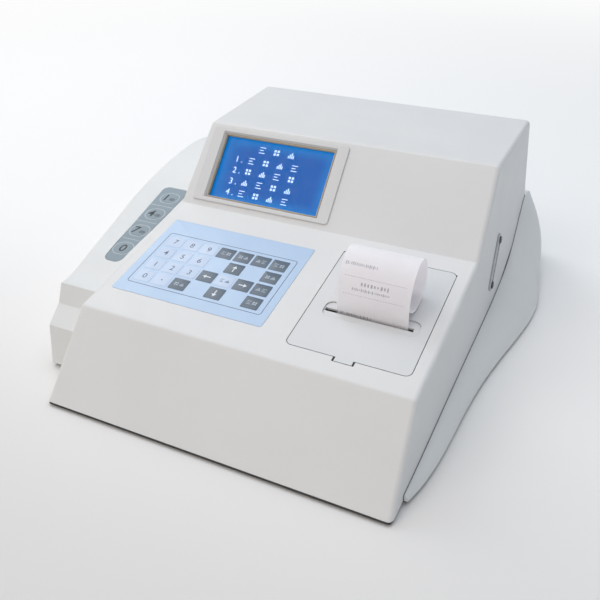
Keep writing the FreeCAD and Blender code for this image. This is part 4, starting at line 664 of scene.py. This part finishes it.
def absorb(target: Shape, source: Shape, matrix: Matrix) -> None:
    """Add a shape to another at a place, and free it."""
    bmesh.ops.transform(source, matrix=matrix, verts=source.verts[:])
    mesh = bpy.data.meshes.new("part")
    source.to_mesh(mesh)
    target.from_mesh(mesh)
    bpy.data.meshes.remove(mesh)
    source.free()


class Mark(Enum):
    """Plain groups of blocks that stand where the real instrument has words: (x, y, width, depth) each."""

    BARS = ((0.0, 0.4, 0.9, 0.12), (-0.14, 0.0, 0.6, 0.12), (0.0, -0.4, 0.9, 0.12))
    BLOCKS = tuple((x, y, 0.34, 0.34) for y in (0.24, -0.24) for x in (-0.24, 0.24))
    STEPS = tuple((x, y, 0.16, depth) for x, y, depth in (
        (-0.36, -0.24, 0.4), (-0.12, -0.12, 0.64), (0.12, -0.02, 0.84), (0.36, -0.2, 0.48),
    ))

    def shape(self, size: float) -> Shape:
        """The group at a size."""
        return joined([
            move(plate(width * size, depth * size, PRINT), x * size, y * size) for x, y, width, depth in self.value
        ])


MARKS = tuple(Mark)


class Piece:
    """One object under construction, in millimetres on a plane."""

    def __init__(self, name: str, plane: Plane, finish: Finish) -> None:
        self.name, self.plane, self.finish = name, plane, finish
        self.shape = bmesh.new()

    def add(self, shape: Shape, x: float = 0.0, y: float = 0.0, z: float = 0.0, turn: float = 0.0) -> None:
        """Put a shape at a place on the plane, turned by degrees."""
        absorb(self.shape, shape, Matrix.Translation((x, y, z)) @ Matrix.Rotation(math.radians(turn), 4, "Z"))

    def done(self, body: str = "housing", replaces: Sequence[str] = (),
             angle: float = 38.0) -> bpy.types.Object:
        """Make the object, let it ride on a body and hide the nodes that it stands for.

        Args:
            body: CAD body that it moves with.
            replaces: CAD nodes that it stands for.
            angle: edges sharper than this many degrees stay sharp.

        Returns:
            The finished object.
        """
        flat = self.shape.loops.layers.uv.new("flat")
        for face in self.shape.faces:
            face.smooth = abs(face.normal.z) < 0.9999 or face.calc_area() < FLAT_AREA
            for loop in face.loops:
                loop[flat].uv = loop.vert.co.xy / UV_UNIT
        bmesh.ops.transform(self.shape, matrix=self.plane.matrix(), verts=self.shape.verts[:])
        mesh = bpy.data.meshes.new(self.name)
        self.shape.to_mesh(mesh)
        self.shape.free()
        mesh.set_sharp_from_angle(angle=math.radians(angle))
        piece = new_object(self.name, mesh)
        mesh.materials.append(self.finish.material())
        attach(piece, body)
        if replaces:
            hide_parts(*replaces)
        log.info("made %s: %d faces", self.name, len(mesh.polygons))
        return piece


def span(limits: Pair) -> float:
    """Distance between two limits."""
    return limits[1] - limits[0]


def centre(*limits: Pair) -> tuple[float, ...]:
    """The middle between each pair of limits."""
    return tuple(sum(pair) / 2.0 for pair in limits)


# Keypad on the deck


@dataclass(frozen=True)
class Keypad:
    """The membrane keypad: film, pads, print and border."""

    x: Pair = (-131.6, 9.9)
    s: Pair = (26.8, 129.2)
    gap: float = 0.3  # what the film is smaller than its recess
    bed: float = -0.6  # floor of the recess
    foot: float = 2.85  # corner radius of the recess
    sheet: float = 0.1  # thickness of the sheet on top
    corner: Pair = (1.0, 0.05)  # corner radius of the sheet, and of its rim
    border_x: Pair = (-124.3, 3.0)
    border_s: Pair = (38.5, 109.4)
    border: Pair = (0.6, 2.8)  # width and corner radius of that line
    left: float = -112.5
    top: float = 98.5
    pitch: Pair = (17.1, 16.5)
    key: Pair = (15.2, 13.6)
    stand: float = 0.2  # height of the film over the deck
    relief: float = 0.22  # height of the pads
    soften: float = 0.12  # rounding of the pads' rims
    digit: Pair = (8.2, 12.0)  # size of the digits, and of the point
    weight: float = 0.02  # boldness of the digits
    mark: Pair = (4.2, 3.9)  # size of the blocks on the dark keys, and on the confirm key
    step: float = 2.6  # distance of the blocks from the key's middle
    arrow: tuple = (7.6, 1.0, 3.0)  # length, width and head of the arrows

    digits = {(index % 3, index // 3): digit for index, digit in enumerate("7894561230.")}
    legends = ((3, 0), (4, 0), (5, 0), (6, 0), (6, 1), (6, 2), (6, 3), (2, 3))
    arrows = {(4, 1): 90.0, (3, 2): 180.0, (5, 2): 0.0, (4, 3): -90.0}
    confirm = (4, 2)

    def place(self, column: int, row: int) -> Pair:
        """Centre of a key."""
        return self.left + column * self.pitch[0], self.top - row * self.pitch[1]

    def build(self) -> None:
        """Make the film, the pads and the print."""
        width, depth = span(self.x) - self.gap, span(self.s) - self.gap
        middle = centre(self.x, self.s)
        film = Piece("keypad_film", DECK, MEMBRANE)
        film.add(plate(width, depth, self.stand - self.sheet - self.bed, self.foot), *middle, self.bed)
        film.add(plate(width, depth, self.sheet, *self.corner), *middle, self.stand - self.sheet)
        film.done(replaces=["keypad_overlay"])
        for name, finish, cells, radius in (
            ("keypad_pale_keys", PALE_KEY, [*self.digits, self.confirm], 1.2),
            ("keypad_dark_keys", DARK_KEY, [*self.legends, *self.arrows], 0.9),
        ):
            pads = Piece(name, DECK, finish)
            for cell in cells:
                pad = plate(*self.key, self.relief, radius, self.soften)
                pads.add(pad, *self.place(*cell), self.stand - SINK)
            pads.done()
        self.draw()

    def draw(self) -> None:
        """Digits, arrows, block legends and the border line."""
        level = self.stand + self.relief - SINK - BITE
        digits = Piece("keypad_digits", DECK, INK_GREY)
        for cell, digit in self.digits.items():
            size = self.digit[digit == "."]
            digits.add(lettering(digit, size, weight=self.weight), *self.place(*cell), level)
        x, s = self.place(*self.confirm)
        for side, mark in ((-1.0, Mark.BARS), (1.0, Mark.STEPS)):
            digits.add(mark.shape(self.mark[1]), x + side * self.step, s, level)
        digits.done()
        border = Piece("keypad_border", DECK, INK_GREY)
        line, radius = self.border
        outline = ring(span(self.border_x), span(self.border_s), line, PRINT, radius)
        border.add(outline, *centre(self.border_x, self.border_s), self.stand - SINK)
        border.done()
        legends = Piece("keypad_legends", DECK, INK_PALE)
        for index, cell in enumerate(self.legends):
            x, s = self.place(*cell)
            for side, step in enumerate((-self.step, self.step)):
                legends.add(MARKS[(index + side) % 3].shape(self.mark[0]), x + step, s, level)
        legends.done()
        arrows = Piece("keypad_arrows", DECK, INK_WHITE)
        for cell, turn in self.arrows.items():
            arrows.add(arrow(*self.arrow), *self.place(*cell), level, turn)
        arrows.done()


# Display


@dataclass(frozen=True)
class Display:
    """The lit display behind its bevelled window."""

    x: Pair = (-119.8, -5.8)
    t: Pair = (11.1, 75.0)
    glass: float = -6.3  # height of the lit face below the panel
    cell: Pair = (0.5, 0.2)  # thickness of the lit cell, and what it is smaller than the view
    title: tuple = ((-80.3, 66.1), (-65.1, 65.9), (-49.8, 65.7))  # middles of the blocks at the top
    title_size: float = 6.8
    rows: tuple = (53.8, 42.7, 31.5, 20.5)
    row_size: float = 6.6
    columns: tuple = (-88.0, -72.8, -57.8, -42.8)  # middles of the blocks in each row
    number: float = -100.5
    number_size: float = 8.6
    gasket: tuple = (0.5, 3.9, 0.3, -4.45)  # line width, height, corner radius and level of the gasket
    weight: float = 0.04  # boldness of the numbers
    pixels: float = 180.0  # pixel lines to each unit of the flat map

    def build(self) -> None:
        """Make the cell, its glyph blocks and the gasket round the window."""
        width, depth = span(self.x), span(self.t)
        middle = centre(self.x, self.t)
        thick, margin = self.cell
        cell = Piece("display_cell", PANEL, GLYPH)
        cell.add(plate(width - margin, depth - margin, thick), *middle, self.glass - thick)
        dress(cell.done(), self.cell_material())
        glyphs = Piece("display_glyphs", PANEL, GLYPH)
        for mark, place in zip(MARKS, self.title):
            glyphs.add(mark.shape(self.title_size), *place, self.glass)
        for row, t in enumerate(self.rows):
            number = lettering(f"{row + 1} .", self.number_size, weight=self.weight)
            glyphs.add(number, self.number, t, self.glass)
            for column, x in enumerate(self.columns):
                glyphs.add(MARKS[(row + column) % 3].shape(self.row_size), x, t, self.glass)
        glyphs.done()
        gasket = Piece("display_gasket", PANEL, GASKET)
        line, height, radius, level = self.gasket
        gasket.add(ring(width - 0.02, depth - 0.02, line, height, radius), *middle, level)
        gasket.done()

    def cell_material(self) -> bpy.types.Material:
        """Blue cell: deep in the middle, brighter towards its edges, with a fine pixel grid."""
        material, tree, shader = new_material("lit_cell")
        flat = tree.add("UVMap", {"uv_map": "flat"}).outputs[0]
        x, t, _ = tree.axes(flat)
        edges = []
        for value, (low, high) in ((x, self.x), (t, self.t)):
            from_low = tree.math("SUBTRACT", value, low / UV_UNIT)
            to_high = tree.math("SUBTRACT", high / UV_UNIT, value)
            edges.append(tree.math("MINIMUM", from_low, to_high))
        near = tree.math("MINIMUM", *edges)
        cloud = tree.noise(flat, 5.0, 3.0)
        depth = tree.math("ADD", near, tree.times(tree.math("SUBTRACT", cloud, 0.5), 0.06))
        blue = tree.blend(tree.ramp(depth, 0.0, 0.13), srgb(6, 114, 192), srgb(0, 84, 166))
        start = self.x[0] / UV_UNIT
        blue = tree.blend(tree.ramp(x, start, start + 0.3, 0.45, 0.0), blue, srgb(10, 106, 186))
        grid = [tree.math("FRACT", tree.times(value, self.pixels)) for value in (x, t)]
        lines = tree.math("MAXIMUM", *[tree.math("GREATER_THAN", value, 0.86) for value in grid])
        blue = tree.blend(tree.times(lines, 0.12), blue, srgb(8, 34, 92))
        tree.feed(shader, Base_Color=tree.blend(0.8, blue, (0.0, 0.01, 0.02)), Emission_Color=blue,
                  Emission_Strength=1.0, Specular_IOR_Level=0.2, Roughness=tree.ramp(cloud, 0.0, 1.0, 0.2, 0.35))
        return material


# Key strip on the wing


@dataclass(frozen=True)
class SideKeys:
    """The four-key film strip on the wing."""

    ends: Pair = (119.0, 238.0)  # front and rear end along the instrument
    outer: Pair = (-168.3, -179.6)  # outer edge at the front and at the rear
    inner: float = -150.0
    radius: float = 7.0
    film: tuple = (0.15, 0.8, -0.6, 0.08)  # margin, thickness, level and rim of the film
    lines: tuple = (151.7, 179.3, 206.6)  # places of the lines between the keys
    line: Pair = (0.4, 0.9)  # gap at their ends, and their width
    centres: tuple = (137.9, 165.5, 193.0, 220.5)  # places of the keys
    digits: str = "0741"
    level: float = 0.18  # where lines and pads lie
    top: float = 0.4  # where the digits lie
    shift: float = 0.6  # how far the keys sit inwards of the strip's middle
    oval: tuple = (20.0, 18.0, 1.0, 0.06, 8.4)  # width, depth, line, height and radius of the line round a key
    pad: tuple = (17.0, 15.0, 0.25, 7.0, 0.15)  # width, depth, height, radius and rim of a key
    digit: Pair = (13.5, 0.22)  # size and boldness of the digits
    beside: Pair = (-3.2, 4.4)  # places of a digit and of its bars from the strip's middle
    bars: tuple = (-1.5, 0.0, 1.5)
    bar: tuple = (6.4, 0.7, 1.6)  # length and width of the bars, and how far they sit down

    def along(self, y: float) -> float:
        """Distance up the wing's slope for a place along the instrument."""
        return (y - SIZES.wing_run) / math.cos(math.atan2(SIZES.deck_rise, SIZES.deck_run))

    def outline(self, margin: float, height: float, soften: float) -> Shape:
        """The strip's slanted plan with rounded corners, set in by a margin."""
        shape = rectangle(1.0, 1.0)
        front, rear = self.along(self.ends[0]) + margin, self.along(self.ends[1]) - margin
        for vert in shape.verts:
            rearward = vert.co.y > 0
            x = self.outer[rearward] + margin if vert.co.x < 0 else self.inner - margin
            vert.co = (x, rear if rearward else front, 0.0)
        round_off(shape, self.radius - margin)
        return raise_up(shape, height, soften)

    def edge_at(self, s: float) -> float:
        """The strip's outer edge at a distance up the slope."""
        low, high = (self.along(y) for y in self.ends)
        return self.outer[0] + span(self.outer) * (s - low) / (high - low)

    def build(self) -> None:
        """Make the film, cell lines, ovals, keys and digits."""
        margin, thick, bed, soften = self.film
        film = Piece("strip_film", WING, STRIP)
        film.add(self.outline(margin, thick, soften), z=bed)
        film.done(replaces=["side_keypad_overlay"])
        lines = Piece("strip_lines", WING, STRIP_LINE)
        for y in self.lines:
            s = self.along(y)
            outer = self.edge_at(s) + self.line[0]
            width = self.inner - self.line[0] - outer
            lines.add(plate(width, self.line[1], PRINT), outer + width / 2.0, s, self.level)
        digits = Piece("strip_digits", WING, INK_BLACK)
        for y, digit in zip(self.centres, self.digits):
            s = self.along(y)
            x = (self.edge_at(s) + self.inner) / 2.0
            lines.add(ring(*self.oval), x + self.shift, s, self.level)
            pad = Piece(f"strip_key_{digit}", WING, STRIP)
            pad.add(plate(*self.pad), x + self.shift, s, self.level)
            pad.done()
            lone = digit == "0"
            size, weight = self.digit
            place = self.shift if lone else self.beside[0]
            digits.add(lettering(digit, size, weight=weight), x + place, s, self.top)
            length, line, drop = self.bar
            for step in () if lone else self.bars:
                bar = plate(length - abs(step), line, PRINT)
                digits.add(bar, x + self.beside[1], s + step - drop, self.top)
        lines.done()
        digits.done()


# Printer


@dataclass(frozen=True)
class Printer:
    """The paper slip with its print."""

    x: Pair = (56.5, 114.0)
    curl: tuple = (  # (distance up the deck, height) points that the slip runs through
        (65.4, -6.6), (65.4, 0.5), (66.6, 14.0), (71.5, 27.5), (80.5, 37.0), (92.0, 41.0), (103.0, 37.0),
        (109.5, 26.0), (109.0, 13.0), (103.0, 4.0), (94.0, 1.0), (84.0, 1.6), (75.0, 5.6),
    )
    columns: int = 24  # faces across the slip
    steps: int = 14  # faces between two points of the curl
    thick: float = 0.12
    rules: Pair = (0.385, 0.242)  # places of the dashed rules along the slip, on its own map
    rule_x: Pair = (0.045, 0.53)  # limits of the rules across it
    rule_half: float = 0.0017  # half their width
    dashes: Pair = (44.0, 0.6)  # dashes to each unit of the map, and the share of each that is printed
    ink: Colour = srgb(82, 74, 84)
    strength: float = 0.62  # of the print
    print_rows: tuple = (  # start, end, place, height and pitch of each row of bars
        (0.02, 0.28, 0.480, 0.020, 0.0145), (0.175, 0.40, 0.338, 0.022, 0.026),
        (0.115, 0.415, 0.290, 0.018, 0.0145), (0.0, 0.28, 0.052, 0.018, 0.0145),
    )

    def path(self) -> list[Vector]:
        """Closely spaced points along the curl, smooth through every given point."""
        knots = [Vector(point) for point in self.curl]
        knots = [2 * knots[0] - knots[1]] + knots + [2 * knots[-1] - knots[-2]]
        points = []
        for before, start, end, after in zip(knots, knots[1:], knots[2:], knots[3:]):
            pull = (end - before) / 2.0, (after - start) / 2.0
            for step in range(self.steps):
                t = step / self.steps
                points.append(
                    start * (2 * t ** 3 - 3 * t ** 2 + 1)
                    + pull[0] * (t ** 3 - 2 * t ** 2 + t)
                    + end * (3 * t ** 2 - 2 * t ** 3)
                    + pull[1] * (t ** 3 - t ** 2)
                )
        return points + [knots[-2]]

    def build(self) -> None:
        """Make the slip that stands out of the lid."""
        path = self.path()
        shape = bmesh.new()
        width = span(self.x)
        bmesh.ops.create_grid(shape, x_segments=self.columns, y_segments=len(path) - 1, size=0.5)
        lengths = [0.0]
        for start, end in zip(path, path[1:]):
            lengths.append(lengths[-1] + (end - start).length)
        flat = shape.loops.layers.uv.new("slip")
        places = {}
        for vert in shape.verts:
            index = round((vert.co.y + 0.5) * (len(path) - 1))
            across = vert.co.x + 0.5
            places[vert] = (across * width, lengths[index])
            vert.co = (self.x[0] + across * width, path[index].x, path[index].y)
        for face in shape.faces:
            for loop in face.loops:
                loop[flat].uv = Vector(places[loop.vert]) / UV_UNIT
        tidy(shape)
        bmesh.ops.solidify(shape, geom=shape.faces[:], thickness=self.thick)
        slip = Piece("printed_slip", DECK, PAPER)
        slip.add(shape)
        dress(slip.done("lid", replaces=["paper_slip"], angle=60.0), self.slip_material())

    def slip_material(self) -> bpy.types.Material:
        """Thermal paper with two dashed rules and rows of plain bars between them."""
        material = PAPER.material().copy()
        material.name = "printed_paper"
        tree = Tree(material.node_tree)
        shader = material.node_tree.nodes["Principled BSDF"]
        base = shader.inputs["Base Color"].links[0].from_socket
        across, along, _ = tree.axes(tree.add("UVMap", {"uv_map": "slip"}).outputs[0])
        marks = [self.rule(tree, across, along, level) for level in self.rules]
        marks += [self.bars(tree, across, along, *row) for row in self.print_rows]
        mask = marks[0]
        for mark in marks[1:]:
            mask = tree.math("MAXIMUM", mask, mark)
        printed = tree.blend(tree.times(mask, self.strength), base, self.ink)
        # the slip glows faintly with its printed colour: painted light
        tree.feed(shader, Base_Color=printed, Emission_Color=printed)
        return material

    def rule(self, tree: Tree, across: Socket, along: Socket, level: float) -> Socket:
        """A dashed rule across the slip."""
        rate, share = self.dashes
        dash = tree.math("LESS_THAN", tree.math("FRACT", tree.times(across, rate)), share)
        row = tree.within(along, level - self.rule_half, level + self.rule_half)
        return tree.times(tree.times(dash, row), tree.within(across, *self.rule_x))

    def bars(self, tree: Tree, across: Socket, along: Socket, start: float, end: float, level: float,
             high: float, pitch: float) -> Socket:
        """A row of upright bars of uneven height, where the real slip has a line of words."""
        cell = tree.math("DIVIDE", across, pitch)
        seed = tree.add("TexWhiteNoise", {"noise_dimensions": "1D"}, W=tree.math("FLOOR", cell)).outputs[0]
        wide = tree.math("LESS_THAN", tree.math("FRACT", cell), tree.math("MULTIPLY_ADD", seed, 0.25, 0.4))
        reach = tree.math("MULTIPLY_ADD", seed, high * 0.45, high * 0.3)
        near = tree.math("ABSOLUTE", tree.math("SUBTRACT", along, level))
        tall = tree.math("LESS_THAN", near, reach)
        return tree.times(tree.times(wide, tall), tree.within(across, start, end))


@dataclass(frozen=True)
class LidTab:
    """Painted shade in the finger pockets at both ends of the lid's tab: black floors in them."""

    x: Pair = (75.0, 89.0)  # ends of the tab
    s: float = 14.2  # its front edge
    pocket: tuple = (1.3, 3.6, 0.1)  # width, depth and height of a floor, a black plate of painted shade
    gap: float = 0.1  # between tab and floor
    level: float = -0.6

    def build(self) -> None:
        """Make the two pockets' black floors, which paint the shade in them."""
        # black plates: painted shade in the finger pockets
        shade_plates = Piece("lid_tab_pocket_shade", DECK, BLACK)
        width, depth, _ = self.pocket
        reach = width / 2.0 + self.gap
        for x in (self.x[0] - reach, self.x[1] + reach):
            shade_plates.add(plate(*self.pocket), x, self.s + depth / 2.0, self.level)
        shade_plates.done()


# Rear panel


@dataclass(frozen=True)
class RearPanel:
    """Fasteners, pins and switch signs on the rear panel."""

    x: Pair = (22.0, 132.0)
    z: Pair = (14.0, 60.0)
    margin: float = 5.0  # distance of the screws from the panel's edges
    radii: Pair = (2.6, 1.6)  # of the screw heads on the panel, and on the inlet
    flange: float = 2.2  # height of the inlet's flange
    inlet: Pair = (44.0, 37.0)
    inlet_half: float = 15.2  # distance of the inlet's screws from its middle
    switch: Pair = (76.0, 37.0)
    serial: Pair = (108.0, 37.0)
    pin: tuple = (0.55, 5.3, 0.3)  # radius, length and bore of a contact
    pin_pitch: float = 2.77
    pin_rows: tuple = ((1.4, 5), (-1.4, 4))  # height from the middle and number of the contacts in each row
    pivot: float = 412.4  # the rocker's axis along the instrument
    rise: Pair = (1.5, 2.6)  # how far the rocker stands out in its middle and at its ends
    half: float = 7.5
    tilt: float = -10.0  # the rocker's turn at rest, in degrees
    sign: tuple = (4.6, 0.04, 0.1)  # size, height and boldness of the signs

    def screw(self, radius: float) -> Shape:
        """A pan-head screw with a cross recess, standing on z = 0."""
        head = lathe([(0.0, 1.5), (radius * 0.55, 1.45), (radius * 0.9, 0.95), (radius, 0.4), (radius, 0.0)], 28)
        slots = [plate(radius * 1.15, 0.45, 0.12), plate(0.45, radius * 1.15, 0.12)]
        return joined([head] + [move(slot, 0.0, z=1.42) for slot in slots])

    def build(self) -> None:
        """Make the panel's screws, the port's contacts and the switch's signs."""
        screws = Piece("rear_panel_screws", REAR, STEEL)
        for x in (self.x[0] + self.margin, self.x[1] - self.margin):
            for z in (self.z[0] + self.margin, self.z[1] - self.margin):
                screws.add(self.screw(self.radii[0]), -x, z)
        for side in (-self.inlet_half, self.inlet_half):
            screws.add(self.screw(self.radii[1]), -(self.inlet[0] + side), self.inlet[1], self.flange)
        screws.done()
        contacts = Piece("serial_contacts", REAR, GOLD)
        radius, length, bore = self.pin
        for row, count in self.pin_rows:
            for index in range(count):
                x = self.serial[0] + (index - (count - 1) / 2.0) * self.pin_pitch
                pin = lathe([(radius, 0.0), (radius, length), (bore, length), (bore, 0.0)], 16)
                contacts.add(pin, -x, self.serial[1] + row)
        contacts.done()
        for name, sign, side in (("rocker_on_sign", "I", 1.0), ("rocker_off_sign", "O", -1.0)):
            piece = Piece(name, self.rocker_face(side), INK_WHITE)
            piece.add(lettering(sign, *self.sign), z=-BITE)
            piece.done("rocker")

    def rocker_face(self, side: float) -> Plane:
        """The plane in the middle of one half of the rocker, as it rests."""
        turn = Matrix.Rotation(math.radians(self.tilt), 2)
        inner, outer = turn @ Vector((self.rise[0], 0.0)), turn @ Vector((self.rise[1], side * self.half))
        middle, slope = (inner + outer) / 2.0, (outer - inner) * side
        x, z = self.switch
        return Plane((x, self.pivot + middle.x, z + middle.y), (-1.0, 0.0, 0.0), (0.0, slope.x, slope.y))


# Studio


def aimed(place: Sequence[float], target: Sequence[float]) -> Matrix:
    """A camera's or lamp's matrix at a place, turned to a target."""
    turn = (Vector(target) - Vector(place)).to_track_quat("-Z", "Y").to_matrix().to_4x4()
    return Matrix.Translation(place) @ turn


@dataclass(frozen=True)
class Studio:
    """Camera, floor and lights."""

    eye: tuple = (0.23877, -0.50626, 0.38855)  # the camera's place in the row frame, in metres
    target: tuple = (0.024641, -0.067587, 0.06)  # the point that it looks at
    roll: float = -1.2241  # turn about its own axis in degrees
    lens: float = 42.619  # focal length in millimetres
    sensor: float = 36.0  # width of the camera's sensor in millimetres
    middle: tuple = (0.0, 0.0, 0.05)  # the point that the lamps are aimed at
    ambient: Colour = (0.796, 0.891, 1.0)  # colour of the surroundings' light
    ambient_strength: float = 0.432  # strength of that light
    backdrop: Colour = (0.98, 0.98, 0.98)  # colour of the surroundings as the camera sees them
    near: Pair = (-0.45, 0.1)  # limits along the floor of its painted shade, between its two colours
    floor_shade_colours: tuple = ((0.76, 0.74, 0.715), (0.99, 0.97, 0.945))  # painted shade: greyer at the front, whiter at the back
    far: Pair = (0.4, 1.7)  # distances over which the floor runs into the backdrop
    lamps: tuple = (  # name, place, size, power and colour of each light
        ("key", (-1.0, -1.1, 1.9), 1.5, 12.6, (1.0, 0.865, 0.795)),
        ("top", (0.1, 0.5, 2.0), 1.4, 11.4, (0.877, 0.93, 1.0)),
        ("rear", (-1.3, 0.8, 1.5), 1.2, 11.6, (0.957, 0.987, 1.0)),
        ("front", (0.0, -1.8, 0.8), 1.5, 4.2, (1.0, 0.80, 0.53)),
    )

    def camera(self) -> None:
        """The camera at the photograph's angle."""
        data = bpy.data.cameras.new("camera")
        data.lens, data.sensor_width, data.clip_start, data.clip_end = self.lens, self.sensor, 0.01, 50.0
        camera = new_object("camera", data)
        camera.matrix_world = aimed(self.eye, self.target) @ Matrix.Rotation(math.radians(self.roll), 4, "Z")
        bpy.context.scene.camera = camera

    def light(self, name: str, place: tuple, size: float, power: float, colour: Colour) -> None:
        """A square soft light that points at the instrument."""
        data = bpy.data.lights.new(name, "AREA")
        data.size, data.energy, data.color = size, power, colour
        new_object(name, data).matrix_world = aimed(place, self.middle)

    def world(self) -> None:
        """Even surroundings that light the object softly and look white from the camera."""
        world = bpy.data.worlds.new("studio")
        world.use_nodes = True
        tree = Tree(world.node_tree)
        back = world.node_tree.nodes["Background"]
        tree.feed(back, Color=self.ambient, Strength=self.ambient_strength)
        seen = tree.add("Background", Color=self.backdrop, Strength=1.0)
        share = tree.add("LightPath").outputs["Is Camera Ray"]
        self.choose(tree, share, back, seen, world.node_tree.nodes["World Output"])
        bpy.context.scene.world = world

    def floor(self) -> None:
        """A wide pale table, with painted shade that makes it a little greyer towards the front."""
        shape = bmesh.new()
        bmesh.ops.create_grid(shape, x_segments=8, y_segments=8, size=6.0)
        mesh = bpy.data.meshes.new("studio_floor")
        shape.to_mesh(mesh)
        shape.free()
        floor = new_object("studio_floor", mesh)
        material, tree, shader = new_material("studio_paper")
        place = tree.add("TexCoord").outputs["Object"]
        # painted shade: the floor is greyer towards the front
        colour = tree.blend(tree.ramp(tree.axes(place)[1], *self.near), *self.floor_shade_colours)
        tree.feed(shader, Base_Color=colour, Roughness=0.9, Specular_IOR_Level=0.1)
        distance = tree.add("VectorMath", {"operation": "LENGTH"}, Vector=place).outputs["Value"]
        share = tree.times(tree.ramp(distance, *self.far), tree.add("LightPath").outputs["Is Camera Ray"])
        glow = tree.add("Emission", Color=self.backdrop, Strength=1.0)
        self.choose(tree, share, shader, glow, tree.tree.nodes["Material Output"])
        mesh.materials.append(material)

    def choose(self, tree: Tree, share: Socket, first: bpy.types.Node, second: bpy.types.Node,
               output: bpy.types.Node) -> None:
        """Send one of two shaders, or a share of both, to a tree's output."""
        mix = tree.add("MixShader", Fac=share)
        tree.plug(mix.inputs[1], first.outputs[0])
        tree.plug(mix.inputs[2], second.outputs[0])
        tree.plug(output.inputs["Surface"], mix.outputs[0])

    def build(self) -> None:
        """Set up the whole studio."""
        self.camera()
        self.floor()
        self.world()
        for lamp in self.lamps:
            self.light(*lamp)
        bpy.context.scene.view_settings.view_transform = "Standard"
        log.info("studio ready")


def main() -> None:
    """Dress the analyzer and set up its studio."""
    dress_nodes()
    for part in (Keypad(), Display(), SideKeys(), Printer(), LidTab(), RearPanel(), Studio()):
        part.build()


if __name__ == "__main__":
    main()
